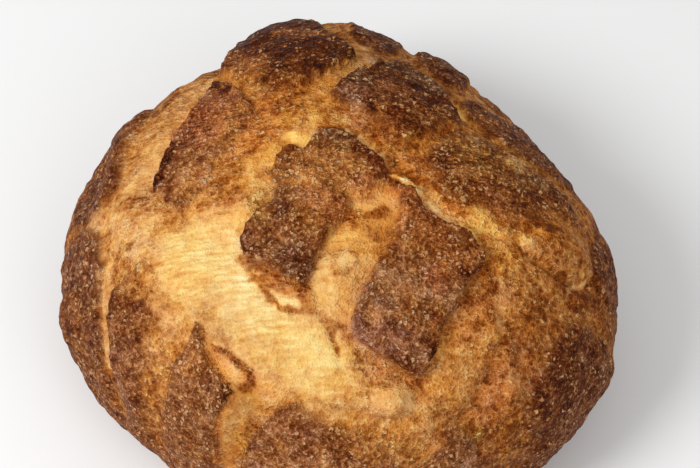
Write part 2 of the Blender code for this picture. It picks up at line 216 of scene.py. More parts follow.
RAGGED_EDGE = ((9.0, 0.9), (3.0, 1.1))
SKIN_TONE = 84.0


def rounded_outline(rows, steps=5):
    """A closed smooth line through the rows, by the Catmull-Rom rule."""
    rows = np.array(rows, dtype=float)
    before = np.roll(rows, 1, axis=0)
    after = np.roll(rows, -1, axis=0)
    beyond = np.roll(rows, -2, axis=0)
    stretches = []
    for t in np.arange(steps) / steps:
        stretches.append(0.5 * (2 * rows + (after - before) * t
                                + (2 * before - 5 * rows + 4 * after - beyond) * t ** 2
                                + (3 * rows - before - 3 * after + beyond) * t ** 3))
    return np.stack(stretches, axis=1).reshape(-1, rows.shape[1])


def nearest_on_line(u, v, starts, ends):
    """Distance from each point to a chain of straight stretches, with the nearest
    stretch's number and the share of it that lies before the nearest place."""
    best = np.full(u.shape, np.inf)
    stretch = np.zeros(u.shape, dtype=int)
    share = np.zeros(u.shape)
    for number, (a, b) in enumerate(zip(starts, ends)):
        du, dv = b[0] - a[0], b[1] - a[1]
        t = np.clip(((u - a[0]) * du + (v - a[1]) * dv) / (du * du + dv * dv), 0.0, 1.0)
        distance = np.hypot(u - a[0] - t * du, v - a[1] - t * dv)
        nearer = distance < best
        best[nearer] = distance[nearer]
        stretch[nearer] = number
        share[nearer] = t[nearer]
    return best, stretch, share


def depth_in_panel(u, v, rows):
    """Distance inside the panel's edge, negative outside, and the slope of that edge."""
    line = rounded_outline(rows)
    after = np.roll(line, -1, axis=0)
    distance, stretch, share = nearest_on_line(u, v, line, after)
    slope = line[stretch, 2] * (1 - share) + after[stretch, 2] * share
    inside = np.zeros(u.shape, dtype=bool)
    for a, b in zip(line, after):
        crosses = (a[1] > v) != (b[1] > v)
        with np.errstate(divide="ignore", invalid="ignore"):
            at = a[0] + (v - a[1]) * (b[0] - a[0]) / (b[1] - a[1])
        inside ^= crosses & (u < at)
    return np.where(inside, distance, -distance), slope


class Skin:
    """What the panels give each point of the crust."""

    def __init__(self, u, v):
        count = len(u)
        self.relief = np.zeros(count)
        self.depth = np.full(count, -WIDEST_GAP)
        self.slope = np.full(count, SOFT_SLOPE)
        self.tone = np.full(count, SKIN_TONE)
        groove = np.zeros(count)
        flat = np.stack((u, v, np.zeros(count)), axis=1)
        ragged = sum(rise * noise_at(flat, length) for length, rise in RAGGED_EDGE)
        for rise, puff, tone, rows in PANELS.values():
            low = np.min(rows, axis=0)[:2] - WIDEST_GAP / 2
            high = np.max(rows, axis=0)[:2] + WIDEST_GAP / 2
            near = np.flatnonzero((u > low[0]) & (u < high[0]) & (v > low[1]) & (v < high[1]))
            depth, slope = depth_in_panel(u[near], v[near], rows)
            depth = depth + ragged[near]
            edge = smoothstep(-0.5, 0.5, depth / slope)
            middle = 1.0 - np.exp(-np.maximum(depth, 0.0) / PUFF_REACH)
            sharp = 1.0 - smoothstep(SHARP_SLOPE, SOFT_SLOPE, slope)
            lip = LIP_RISE * sharp * np.exp(-((depth - LIP_SET_BACK) / LIP_WIDTH) ** 2)
            self.relief[near] = np.maximum(self.relief[near],
                                           edge * (rise + puff * middle + lip))
            outside = np.minimum(depth, 0.0) / LIP_WIDTH
            groove[near] = np.maximum(groove[near],
                                      sharp * np.exp(-outside ** 2) * (depth < 0.0))
            deeper = depth > self.depth[near]
            self.depth[near[deeper]] = depth[deeper]
            self.slope[near[deeper]] = slope[deeper]
            self.tone[near[deeper]] = tone
        self.relief -= LIP_GROOVE * groove
        self.gap = np.maximum(-self.depth, 0.0)


# Burst crust
# Between the panels the dough tore open in the oven. It is younger and paler, sunk below
# the lips and swelling again in the middle of the wide bursts, with furrows where a cut
# stayed shut and folds and lumps where it was pinched.

BURST_SINK = 2.6
SINK_FADES = (85.0, 112.0)
SINK_LEFT_BEHIND = 0.3
BACK_BEGINS = (0.0, 40.0)
BURST_SWELL = 2.4
BURST_SWELL_REACH = 12.0
CUTS_FADE = (150.0, 180.0)
FOOT_FADE = (180.0, 205.0)

# Furrows: depth, half width, then the points (u, v)
FURROWS = (
    (2.0, 2.2, (4, 19), (12, 15), (19, 10), (23, 4), (29, -3), (36, -11), (46, -19), (56, -23),
     (64, -26)),
    (1.8, 2.0, (72, -28), (82, -34), (95, -38), (108, -37), (116, -30)),
    (1.4, 2.0, (60, 58), (64, 48), (70, 40), (80, 32), (92, 24), (112, 15)),
    (1.6, 2.4, (66, -60), (66, -74), (62, -88), (56, -100), (50, -108)),
    (1.4, 3.0, (32, 84), (35, 96), (38, 112), (40, 134)),
    (0.8, 3.0, (2, 84), (0, 98), (-4, 118), (-6, 138)),
    (1.0, 3.0, (72, 74), (78, 84), (82, 104), (84, 126)),
    (2.0, 4.0, (-62, 80), (-64, 96), (-62, 112), (-60, 130)),
    (1.0, 1.6, (12, -92), (15, -90), (22, -89), (29, -91), (32, -98)),
    (1.0, 1.6, (-8, -66), (-4, -72), (-1, -80), (1, -86)),
)

# Swellings: height, centre (u, v), half length, half width, turn in degrees
SWELLING_SHOULDER = (0.2, 1.25)
SWELLINGS = (
    (4.2, (95, -23), 24, 13, -4),
    (2.2, (22, -98), 10, 7, 5),
    (1.8, (-48, -87), 9, 6, -35),
    (1.6, (58, -108), 10, 5, -8),
    (2.6, (72, -82), 7, 24, 24),
    (1.6, (60, -66), 8, 20, 10),
    (1.4, (2, -46), 8, 12, -18),
    (2.0, (-62, -48), 34, 16, -24),
    (1.8, (-88, -8), 12, 14, 10),
    (2.2, (20, -99), 8, 8, 0),
    (-8.0, (-124, 32), 30, 18, 90),
    (-3.6, (-68, 92), 18, 17, 0),
    (-3.6, (-48, 104), 15, 16, 0),
    (-3.6, (86, 78), 18, 16, 0),
    (-4.0, (-64, 112), 32, 11, 90),
    (1.8, (2, 104), 14, 24, 0),
    (4.0, (134, -62), 16, 36, 20),
    (3.4, (-142, -42), 18, 18, 0),
    (-2.2, (-114, -120), 16, 16, 0),
)

# The flap of torn skin that hangs under the heart panel's front lip
UNDER_LIP_RISE = 1.6
UNDER_LIP_EDGE = (-1.0, 1.0)
UNDER_LIP = ((-41, -40, 2), (-39, -46, 2), (-36, -52, 2), (-31, -57, 2), (-28, -61, 2),
             (-23, -64, 2), (-16, -65, 2), (-10, -65, 2), (-10, -61, 2), (-13, -55, 2),
             (-25, -48, 2), (-35, -43, 2))


def oval_share(u, v, centre, long_half, short_half, turn):
    """Distance from an oval's centre as a share of its half size."""
    c, s = math.cos(math.radians(turn)), math.sin(math.radians(turn))
    along = ((u - centre[0]) * c + (v - centre[1]) * s) / long_half
    across = ((v - centre[1]) * c - (u - centre[0]) * s) / short_half
    return np.hypot(along, across)


def burst_relief(u, v, gap):
    """Height that the burst crust, its furrows and its swellings add."""
    behind = smoothstep(*SINK_FADES, np.hypot(u, v)) * smoothstep(*BACK_BEGINS, v)
    relief = (BURST_SWELL * (1.0 - np.exp(-gap / BURST_SWELL_REACH))
              - BURST_SINK * (1.0 - (1.0 - SINK_LEFT_BEHIND) * behind))
    sink = np.zeros(len(u))
    for depth, half_width, *points in FURROWS:
        distance, _, _ = nearest_on_line(u, v, points[:-1], points[1:])
        sink = np.maximum(sink, depth * np.exp(-(distance / half_width) ** 2))
    for rise, centre, long_half, short_half, turn in SWELLINGS:
        share = oval_share(u, v, centre, long_half, short_half, turn)
        relief = relief + rise * (1.0 - smoothstep(*SWELLING_SHOULDER, share))
    return relief - sink


# Blisters and fibres
# The old skin is covered in small blisters, the burst crust in torn gluten fibres that
# run across the tear, and here and there a bubble has left a round ring.

SKIN_BLISTERS = ((6.5, 0.9), (3.2, 0.7))
BLISTERS_ON_BURST = 0.35
FIBRE_WRINKLE = 0.55
FIBRE_LENGTH = 9.0
FIBRE_WIDTH = 2.2
RINGS = ((0.9, (1.8, -44), 4.4), (0.4, (1.8, -44), 8.2), (0.9, (31, -78), 4.0))
RING_HALF_WIDTH = 0.9

# How strongly the fibres run in each direction: degrees, then (u, v, reach, strength)
FIBRES = {
    0: ((-60, -40, 34, 1.0), (-30, -68, 26, 1.0), (-85, -15, 22, 0.6), (0, -88, 20, 0.8),
        (25, -98, 16, 0.6)),
    65: ((-88, 20, 20, 0.9), (-82, 48, 18, 0.9), (-70, 70, 16, 0.8), (2, -40, 14, 0.9),
         (-34, 22, 22, 1.0), (-4, 28, 12, 0.8), (28, 24, 16, 0.9), (76, -70, 26, 1.1),
         (12, -22, 10, 0.7), (-90, -88, 16, 0.8), (-52, -112, 14, 0.8), (-114, -48, 12, 0.9),
         (-122, -80, 20, 0.7)),
    -40: ((-26, -58, 12, 1.0), (-35, -52, 8, 1.0), (8, 15, 8, 0.8), (26, -2, 9, 0.9),
          (48, -20, 12, 0.9), (80, 24, 14, 0.8), (12, 24, 14, 0.5), (-44, -4, 14, 0.8)),
}
# On old skin they show in these places, at 65 degrees only
SKIN_STREAKS = ((-58, 24, 24, 0.9), (-52, 50, 16, 0.8), (66, 10, 20, 1.5), (92, 6, 18, 1.3),
                (40, 40, 18, 0.9), (-100, -60, 12, 0.5))


def strength_near(u, v, places):
    """The strength that the places give, each fading out over its reach."""
    strength = np.zeros(len(u))
    for cu, cv, reach, amount in places:
        near = amount * np.exp(-((u - cu) ** 2 + (v - cv) ** 2) / reach ** 2)
        strength = np.maximum(strength, near)
    return strength


def fibre_weights(u, v, covered):
    """Strength of the fibres in each of the three directions."""
    rows = [strength_near(u, v, places) * (1.0 - covered) for places in FIBRES.values()]
    rows[1] += strength_near(u, v, SKIN_STREAKS) * covered
    return np.stack(rows, axis=1)


def fibre_wrinkles(u, v, weights):
    """Fine ridges along the fibres."""
    relief = np.zeros(len(u))
    for column, degrees in enumerate(FIBRES):
        c, s = math.cos(math.radians(degrees)), math.sin(math.radians(degrees))
        along = (u * c + v * s) / FIBRE_LENGTH
        across = (v * c - u * s) / FIBRE_WIDTH
        grain = np.stack((along, across, np.full(len(u), float(column))), axis=1)
        relief += weights[:, column] * noise_at(grain, 1.0)
    return FIBRE_WRINKLE * relief


def ring_relief(u, v):
    """Low round ridges where a bubble broke."""
    relief = np.zeros(len(u))
    for rise, (cu, cv), radius in RINGS:
        away = np.hypot(u - cu, v - cv) - radius
        relief += rise * np.exp(-(away / RING_HALF_WIDTH) ** 2)
    return relief


# Tone
# How light each place of the crust is, on a scale from 30 for charred over 90 for dark
# brown and 130 for gold to 200 for cream. A stroke is its tone, its half width and the
# points (u, v) that it runs through, and each is laid over those before it. A few strokes
# paint shade or a highlight in place of the crust's own colour, as noted where they stand.

BURST_TONE = 115
RIM_TONE = 93
RIM_BROWNS = (95.0, 140.0)
WARM_GROUND = 0.2
STROKE_EDGE = (0.4, 1.6)
STROKE_WANDER = ((7.0, 1.4), (2.8, 1.5))
WANDER_APART = 20.0

BURST_STROKES = (
    # the wide pale burst, from the left shoulder round to the front
    (143, 26, (-84, -24), (-66, -44), (-46, -64), (-22, -80), (0, -90)),
    (164, 17, (-62, -36), (-50, -50), (-34, -68), (-12, -80)),
    (181, 9, (-62, -32), (-54, -38), (-46, -44), (-40, -56), (-32, -64)),
    (181, 6, (-18, -76), (-12, -78), (-6, -84)), (169, 7, (-60, -24), (-44, -23)),
    (194, 3, (-46, -30), (-45, -44), (-41, -54)), (166, 4, (-70, -46), (-66, -54)),
    (149, 6, (-100, -6), (-98, -16), (-95, -26)), (152, 4, (-82, -16), (-82, -30)),
    (141, 7, (-112, 0), (-110, -10)), (132, 5, (-105, -14), (-106, -34)),
    (116, 5, (-106, -34), (-96, -36), (-90, -38)), (105, 5, (-90, -42), (-83, -50), (-84, -58)),
    (140, 5, (-80, -54), (-79, -70)), (99, 5, (-87, -64), (-88, -76)),
    (118, 5, (-85, -72), (-84, -84), (-90, -90)),
    (150, 3, (-104, -28), (-109, -44), (-115, -58), (-119, -72)),
    (97, 6, (-92, -98), (-100, -108), (-108, -118)),
    # brown and pale marks on it
    (123, 7, (-66, -10), (-52, -8)), (131, 3.4, (-79, -1), (-75, -8), (-70, -14), (-66, -20)),
    (39, 2, (-91, 2), (-87, -1), (-83, -5)), (101, 1.8, (-96, -3), (-90, -5), (-84, -5)),
    (67, 5, (-50, -3), (-44, -2), (-38, -3)), (85, 3, (-50, -10), (-44, -9)),
    (117, 2.6, (-96, -27), (-94, -30)), (125, 1.6, (-94, -24), (-86, -24)),
    (121, 2, (-82, -34), (-79, -42)), (180, 1.8, (-60, -30), (-52, -36), (-45, -41)),
    (111, 1.4, (-68, -18), (-61, -11), (-55, -3), (-48, 3), (-41, 5)),
    (125, 1.4, (-64, -20), (-57, -12), (-51, -5), (-44, 1)), (127, 5, (-64, -16), (-48, -15)),
    (156, 2, (-60, -19), (-50, -17), (-40, -17)), (145, 5, (-58, -67), (-53, -76)),
    (105, 2.4, (-64, -69), (-63, -75)),
    # the flap under the heart panel: two ropes of crust round a pale pocket
    (122, 3.4, (-41, -42), (-36, -48), (-29, -53), (-21, -57), (-15, -58)),
    # the next stroke, a dark line just outside the heart panel's front lip, is painted shadow
    # under the lip
    (80, 1.8, (-38, -43.5), (-30, -49), (-22, -53), (-15, -56)),
    (170, 1.8, (-36, -50.5), (-31, -55)),
    (108, 1.5, (-33, -52), (-27, -56), (-20, -59.5), (-15, -61)),
    (186, 2.2, (-28, -58.5), (-23, -61), (-18, -63.5)),
    (104, 1.5, (-37, -51), (-33, -55), (-30, -59), (-27, -62), (-23, -64.5), (-16, -65.5)),
    (80, 3.4, (-14, -58), (-12, -61), (-11, -63)),
    # the left opening beside the upper left panel
    (129, 11, (-88, 10), (-86, 28), (-80, 44), (-73, 60), (-68, 74)),
    (154, 6, (-88, 6), (-83, 10), (-80, 24)), (154, 2.4, (-79, 8), (-79, 16), (-78, 26)),
    (142, 4, (-76, 32), (-72, 44), (-68, 54), (-64, 66)),
    (123, 6, (-80, 84), (-70, 80), (-62, 76)), (99, 6, (-98, 44), (-93, 58), (-88, 68), (-84, 76)),
    (90, 3, (-86, 52), (-80, 66), (-82, 74)),
    # the ground between the upper panels
    (108, 16, (-42, 6), (-36, 22), (-30, 36), (-20, 40)),
    (93, 6, (-46, 52), (-40, 44), (-28, 44), (-18, 38)), (121, 4, (-46, 58), (-43, 54), (-34, 42)),
    (135, 4, (-24, 20), (-12, 21), (-9, 25)), (184, 3.6, (-20, 16), (-15, 14)),
    (164, 2.6, (-12, 18), (-9.5, 24), (-10, 29)), (132, 5, (-11, 30), (-11, 38), (-7, 44)),
    (153, 5, (-34, 3), (-30, 5), (-26, 9)), (158, 4, (-36, -6), (-31, -7)),
    (127, 4, (-38, -11), (-32, -12)), (141, 3, (-32, 30), (-29, 27)),
    (101, 3, (-24, 33), (-20, 34)), (115, 4, (-36, 13), (-40, 34)),
    # round the crown, and on to the right
    (94, 5, (-3, 21), (5, 23), (12, 25), (22, 22), (28, 12)),
    (125, 6, (8, 30), (14, 32), (20, 30)), (125, 3, (0, 26), (6, 30)),
    (111, 4, (11, 13), (18, 10), (24, 6), (26, 0)), (117, 4, (-2, 36), (4, 34)),
    (128, 5, (-18, -9), (-6, -14), (6, -15), (14, -11)),
    # the first stroke on the next line is painted shade in the valley between the top right and
    # right panels
    (87, 7, (32, 28), (40, 25), (48, 24), (56, 32), (68, 36), (78, 31)),
    (93, 5, (32, 12), (40, 8), (46, 4)), (121, 3, (40, 13), (44, 12)),
    (119, 3.5, (27, 5), (31, 6)),
    # the golden opening between the top panels
    (93, 9, (4, 88), (14, 84), (28, 80), (44, 78), (58, 71), (70, 62)),
    (141, 4, (8, 82), (9, 76), (10, 70), (9, 62)), (126, 2.5, (10, 72), (10, 64)),
    (141, 3, (4, 56), (0, 53), (-4, 48)), (171, 3, (60, 54), (64, 46)),
    # the seam, from the crown to the right
    # the first stroke on the next line, along the crown's back right lip, is both the cut's pale
    # floor and a painted highlight on it
    (186, 1.1, (3, 19), (9, 17.5), (14, 13.5), (19, 9)), (67, 4, (20, -4), (28, -4), (32, -6)),
    (96, 4, (38, -8), (46, -15), (54, -18)), (169, 3.4, (33, -9), (39, -16), (48, -22)),
    (199, 1.2, (22, -3.5), (27, -5), (31, -8.5), (34, -13)),
    (181, 1.1, (34, -13), (38, -18), (43, -23), (51, -26)),
    (150, 5.5, (56, -18), (58, -26), (63, -32)), (205, 1.5, (51, -26), (55, -30), (58, -34)),
    (163, 3, (57, -19), (61, -22)), (196, 3, (62, -36), (66, -38)),
    # the golden valley between the heart and the great panel
    (156, 8, (2, -34), (2, -48), (-4, -62)), (166, 5, (-6, -50), (-7, -57)),
    (152, 4, (8, -34), (10, -44)), (161, 5, (16, -22), (19, -15)),
    # the first stroke on the next line, a dark brown wedge, is painted shadow at the top of the
    # valley
    (97, 3, (3, -22.5), (9, -23), (17, -21)), (157, 1.7, (4, -18.5), (12, -18.5)),
    (117, 3, (7, -27), (12, -29)),
    (132, 1.3, (-2.5, -46), (-2, -42.5), (1, -39.5), (4.5, -39.5), (6.5, -42), (5, -46),
                (1.5, -49), (-1.5, -48.5), (-2.5, -46)),
    (165, 2.2, (0.5, -45), (3, -43)), (126, 1.8, (-7, -66), (-4.5, -69), (-3, -73)),
    (118, 1.2, (-3, -73), (-2, -77), (-1, -81)),
    (125, 1.6, (-3, -68), (2, -71), (5, -77), (11, -84)),
    # below the great panel
    (122, 5, (10, -83), (20, -86), (32, -89)), (130, 3, (14, -89), (22, -91)),
    (85, 3, (31, -92), (33, -98)), (141, 6, (14, -102), (26, -101), (34, -99)),
    (167, 5.5, (18, -97), (22, -97)), (145, 3, (16, -104), (22, -105)),
    (155, 1.1, (28, -93), (29, -98), (26, -104)), (114, 1.2, (12, -95), (12, -103)),
    (123, 1.8, (13, -91.5), (18, -92)),
    # the front, above and beside the front panel
    (143, 5, (-36, -97), (-20, -98), (-4, -100), (8, -101)),
    (166, 4, (-20, -92), (-4, -94), (4, -91)),
    (135, 5, (2, -106), (18, -107), (36, -106), (46, -106)), (143, 3, (20, -110), (30, -110)),
    (108, 7, (12, -116), (26, -118), (40, -122)), (127, 4, (34, -114), (40, -116)),
    (125, 3, (20, -121), (24, -122)),
    # the gold strip left of the front panel
    (120, 6, (-41, -101), (-50, -110), (-56, -122), (-60, -134)),
    (127, 3, (-38, -103), (-36, -109)), (150, 4.5, (-52, -85), (-46, -91)),
    (88, 1.4, (-56, -79), (-50, -81), (-45, -85)),
    (84, 1.8, (-44, -86), (-40, -89), (-38, -92), (-40, -95), (-44, -96)),
    # the netted ground on the right
    (98, 16, (56, -46), (50, -62), (62, -86), (60, -100)),
    (131, 8, (46, -78), (42, -90), (52, -88)),
    (137, 3, (66, -44), (67, -52), (65, -62), (64, -68)), (94, 4, (58, -36), (60, -46), (54, -54)),
    (120, 4, (50, -66), (58, -70), (57, -78)), (135, 3, (50, -80), (56, -84)),
    (104, 4, (74, -36), (70, -42), (78, -44)), (121, 4, (68, -30), (76, -31)),
    # the next stroke, dark along the lower rim of the long swelling on the right, is painted shade
    # under that rim
    (62, 3.5, (76, -28), (86, -32), (96, -34), (106, -30), (113, -22), (118, -10)),
    (192, 3, (74, -22), (78, -27)), (169, 2, (101, -40), (107, -36), (112, -34)),
    (92, 5, (64, -14), (72, -18), (84, -17)), (105, 8, (84, -28), (98, -24), (110, -16)),
    (63, 6, (80, -11), (88, -16)),
    (112, 2.6, (80, -28), (90, -33), (100, -34), (107, -30), (112, -24)),
    # both dark strokes on the next line are painted shade under the long swelling's front rim
    (63, 3, (93, -37), (95, -43)), (65, 4.5, (102, -44), (112, -42), (118, -34), (118, -24)),
    (75, 5, (82, -50), (82, -56)), (107, 4, (92, -44), (96, -54)),
    (86, 4, (71, -64), (74, -70)), (91, 5, (84, -62), (78, -74), (70, -86)),
    (124, 3.5, (80, -79), (72, -86), (66, -94)), (100, 4, (54, -103), (50, -106)),
    (71, 5, (68, -112), (80, -108)), (72, 7, (78, -122), (64, -126)),
    (110, 4, (84, 14), (82, 22), (76, 28)), (205, 3.5, (85, 24), (90, 21)),
)

SKIN_STROKES = (
    # the crown panel
    (127, 7, (-12, 2), (-6, -2), (4, -4)), (97, 5, (-20, 4), (-18, -2)),
    (148, 3, (-15.5, -5), (-14, -8), (-12, -11)), (99, 3, (-11, 8), (-4, 10)),
    (66, 4, (8, 8), (14, 4), (17, -1)), (88, 3, (-7, 16), (-2, 16), (4, 13)),
    (84, 2.5, (-20, 4), (-21, 9)), (154, 3, (5, -10), (9, -14)),
    (120, 3, (0, -9), (2, -6)),
    # the heart panel
    (132, 4, (-32, -16), (-30, -26)), (83, 4, (-26, -20), (-25, -28)),
    (79, 5, (-36, -32), (-38, -38)), (92, 5, (-32, -36), (-30, -46)),
    (96, 4, (-20, -35), (-14, -36)), (89, 4, (-22, -44), (-15, -42)),
    (72, 3, (-17, -48), (-14, -50)), (122, 5, (-16, -16), (-6, -18), (-4, -24)),
    (97, 4, (-12, -29), (-6, -29)), (103, 4, (0, -18), (2, -22)),
    # the great panel
    (122, 5, (18, -51), (28, -56), (40, -56)), (99, 8, (26, -32), (34, -44)),
    (88, 4, (40, -34), (48, -34), (54, -38)), (65, 3, (50, -44), (52, -46)),
    (86, 3, (28, -17), (32, -22), (36, -26)), (85, 4, (36, -62), (40, -68), (36, -74)),
    (109, 4, (8, -68), (12, -74), (20, -76)), (153, 3, (14, -64), (16, -66)),
    (88, 4, (20, -64), (28, -66)), (38, 3, (28, -80), (38, -78)),
    (113, 1.5, (12, -62), (18, -65), (26, -67)),
    (62, 1.4, (27.5, -78), (28.5, -75.5), (31, -74.5), (33.5, -75.5), (34.5, -78), (33.5, -80.5),
                (31, -81.5), (28.5, -80.5), (27.5, -78)),
    (148, 1.3, (24.5, -18), (24.5, -30)), (102, 3, (28, -76), (31, -80)),
    (85, 3, (26, -84), (33, -84)),
    # the upper left panel
    (115, 5, (-46, 40), (-49, 30), (-46, 14), (-44, 4)), (97, 6, (-64, 48), (-62, 30), (-66, 12)),
    (51, 3, (-60, 64), (-56, 57), (-52, 54)), (38, 2.5, (-77, 2), (-75, 12), (-72, 20)),
    (85, 3, (-70, 2), (-72, -6)), (135, 5, (-62, 2), (-52, -2)),
    # the top left panel
    (100, 7, (-54, 78), (-46, 68), (-38, 60)), (84, 5, (-26, 90), (-14, 84), (-4, 82)),
    (38, 5, (-32, 78), (-24, 70), (-14, 66), (-2, 68)), (38, 5, (-42, 96), (-34, 84)),
    (57, 4, (-20, 60), (-10, 62)), (86, 4, (-28, 50), (-18, 48)),
    # the top right panel
    (67, 4, (22, 70), (32, 70), (44, 68)), (80, 4, (46, 60), (52, 56)),
    (52, 4, (34, 56), (42, 50), (52, 48)), (81, 4, (6, 42), (10, 38), (24, 44), (30, 42)),
    (62, 4, (15, 38), (24, 34), (28, 30)), (92, 3, (14, 50), (22, 48)),
    # the right panel
    (115, 4, (64, 16), (65, 26), (58, 14)), (82, 5, (62, -6), (70, -6), (82, -3)),
    (75, 3, (51, 15), (46, 6)), (105, 5, (50, 2), (58, 6)),
    (156, 4, (80, 15), (84, 20), (88, 22)), (78, 5, (98, 4), (106, 2)),
    # the front and lower panels
    (89, 4, (-26, -104), (-16, -108)), (78, 4, (-2, -114), (2, -122)),
    (147, 2.5, (-12, -123), (-8, -125)), (90, 5, (-14, -120), (-30, -122)),
    (56, 3, (-50, -96), (-54, -100)), (79, 4, (-102, -44), (-92, -50)),
    (117, 4, (-80, -92), (-72, -82), (-66, -76)), (97, 5, (-62, -92), (-66, -104)),
    # the dark right side
    (68, 7, (92, -74), (98, -86), (100, -96)), (69, 8, (104, -62), (112, -74), (108, -90)),
    (78, 6, (92, -114), (100, -118)), (84, 6, (118, -100), (124, -90)),
)

# Warmth: above 0 more orange, below 0 greyer
WARM_STROKES = (
    (1.0, 22, (-46, 30), (-26, 14), (-20, 36)), (1.3, 8, (-42, 30), (-38, 18)),
    (0.6, 14, (-56, -6), (-36, -14)), (0.8, 16, (14, -4), (26, 4), (36, -10)),
    (1.3, 10, (26, 26), (44, 18)), (0.7, 10, (2, -26), (14, -36), (18, -18)),
    (1.3, 12, (-12, -2), (-4, -14), (-4, -22)), (1.3, 10, (38, -34), (50, -38)),
    (0.9, 10, (52, -26), (64, -32)), (1.3, 14, (50, 12), (58, 0), (62, -10)),
    (1.3, 10, (76, -12), (100, -4)), (1.3, 12, (-40, 66), (-20, 86)),
    (1.3, 8, (66, 54), (74, 48)), (0.9, 7, (-64, -84), (-56, -92)),
    (0.8, 7, (6, -112), (16, -121)), (-1.1, 8, (20, 70), (34, 68), (46, 62)),
    (-0.7, 6, (5, 40), (8, 50)), (0.7, 7, (9, -62), (10, -74)),
    (0.2, 3, (47, 12), (44, 6)), (0.0, 6, (-32, -13), (-27, -20)),
    (-0.7, 5, (-22, -44), (-15, -50)), (0.0, 10, (-90, -22), (-86, -30)),
    (-0.1, 12, (-56, -62), (-38, -68)),
    # the first stroke on this and on each of the next two lines greys the left rim and the right
    # side: painted sheen that the rims catch at a glancing angle
    (-0.2, 12, (-128, 34), (-124, 4), (-118, -40), (-118, -70), (-122, -90)),
    (-0.4, 9, (124, -46), (128, -70), (126, -100)), (0.0, 10, (64, -124), (92, -122)),
    (-0.1, 10, (108, -42), (122, -60), (122, -100)), (-0.6, 4, (-40, -34), (-37, -44)),
    (-0.5, 4, (-25, -20), (-24, -30)), (0.0, 4, (-30, -8), (-20, -14)),
    (-0.3, 4, (-8, 16), (0, 15)), (0.8, 5, (8, 12), (14, 6), (17, 0)),
    (1.0, 4, (25, -10), (28, -16)), (-0.2, 5, (10, -58), (18, -60)),
    (-0.4, 6, (6, -70), (14, -76), (24, -74)), (1.0, 4, (36, -52), (38, -46)),
    (0.4, 5, (24, -53), (34, -56)), (-0.4, 4, (36, -72), (34, -84)),
    (0.1, 5, (-34, -110), (-12, -114)), (-0.3, 4, (-58, -94), (-50, -100)),
    (0.0, 5, (-76, 12), (-77, 2)), (1.2, 6, (-16, -26), (-6, -28)),
    (0.5, 6, (30, -64), (38, -66)), (0.5, 8, (44, -76), (40, -92)),
    (0.0, 8, (-92, -10), (-88, -16)), (0.6, 6, (72, 4), (66, -8)),
    (1.3, 8, (82, -12), (90, -18)), (1.2, 8, (60, 22), (74, 14)),
    (0.5, 8, (56, -50), (60, -62)), (0.8, 8, (50, 36), (40, 32)),
    (1.3, 8, (-28, 86), (-14, 74)), (-0.1, 6, (-92, 60), (-86, 70)),
    (0.0, 8, (-96, -74), (-104, -60)), (0.0, 6, (-44, -104), (-56, -118)),
)

# Redness: above 0 pinker, below 0 olive
RED_STROKES = (
    (0.6, 8, (-36, 30), (-30, 40)), (0.9, 12, (-60, 28), (-58, 44)),
    (0.6, 7, (10, 27), (22, 22)), (0.6, 3, (-38, -43), (-28, -52), (-16, -59)),
    (0.6, 4, (14, -87), (32, -91)), (0.9, 6, (24, -12), (44, -20)),
    (0.6, 6, (32, 2), (38, -2)), (0.6, 4, (-56, -80), (-44, -84), (-39, -92)),
    (0.7, 7, (68, -86), (64, -102)), (0.6, 8, (76, -72), (84, -84)),
    (-0.8, 6, (-30, -12), (-31, -24)), (-1.3, 8, (24, 68), (44, 64)),
    (-0.7, 7, (6, 62), (8, 52)), (-0.7, 12, (62, 14), (80, 12)),
    (-0.4, 10, (84, 24), (70, 30)), (-0.6, 13, (-66, -32), (-58, -56), (-34, -74), (-6, -88)),
    (-0.1, 8, (-86, -26), (-82, -34)), (-0.2, 8, (-2, -42), (-4, -54)),
    (-0.8, 7, (-42, -102), (-50, -118)), (-0.3, 6, (4, -98), (6, -104)),
    (-0.9, 4, (56, -109), (62, -110)), (-0.1, 5, (-40, -34), (-37, -44)),
    (-0.1, 6, (-24, -42), (-14, -50)), (0.0, 4, (-25, -20), (-24, -30)),
    (-0.3, 4, (-30, -8), (-20, -14)), (0.7, 5, (8, 12), (14, 6), (17, 0)),
    (0.5, 5, (8, -10), (14, -14)), (0.7, 5, (25, -10), (28, -16)),
    (0.0, 5, (10, -58), (18, -60)), (0.4, 6, (6, -70), (14, -76), (24, -74)),
    (1.3, 4, (36, -52), (38, -46)), (0.4, 3, (24, -18), (25, -30)),
    (0.5, 8, (34, -26), (44, -40)), (0.0, 5, (24, -53), (34, -56)),
    (0.1, 4, (12, -63), (26, -67)), (0.7, 6, (-12, -16), (0, -22)),
    (-0.6, 4, (-1, 15), (2, 11)), (0.0, 4, (-78, -2), (-74, -10), (-67, -18)),
    (0.2, 5, (-54, -16), (-42, -12)), (0.4, 5, (-76, 12), (-77, 2)),
    (0.2, 8, (-58, -6), (-50, 2)), (0.4, 5, (62, -4), (66, -14)),
    (0.3, 5, (104, -44), (112, -40)), (-0.6, 5, (80, 8), (74, 2)),
    (0.1, 8, (-34, -112), (-12, -116)), (-0.1, 10, (46, 42), (56, 50)),
    (0.2, 10, (-40, 66), (-24, 80)), (0.0, 8, (20, -98), (28, -98)),
    (0.7, 6, (-40, 12), (-32, 20)), (0.4, 8, (60, -52), (52, -64)),
)

# Strength of the pale grains, 1 where they are plain. Their paleness is partly the blisters' own
# and partly a painted highlight.
FLECK_STROKES = (
    (1.5, 14, (-14, 2), (6, 2)), (1.3, 12, (-26, -26), (-20, -38)),
    (1.2, 12, (32, -38), (46, -40)), (1.5, 18, (54, 6), (84, 10)),
    (1.3, 14, (20, 52), (44, 56)), (1.2, 12, (-34, 80), (-14, 76)),
    (0.7, 16, (-40, -122), (10, -126)), (0.75, 12, (-100, -56), (-110, -80)),
    (0.8, 14, (-70, -90), (-90, -120)), (0.9, 14, (-60, 10), (-58, 50)),
)

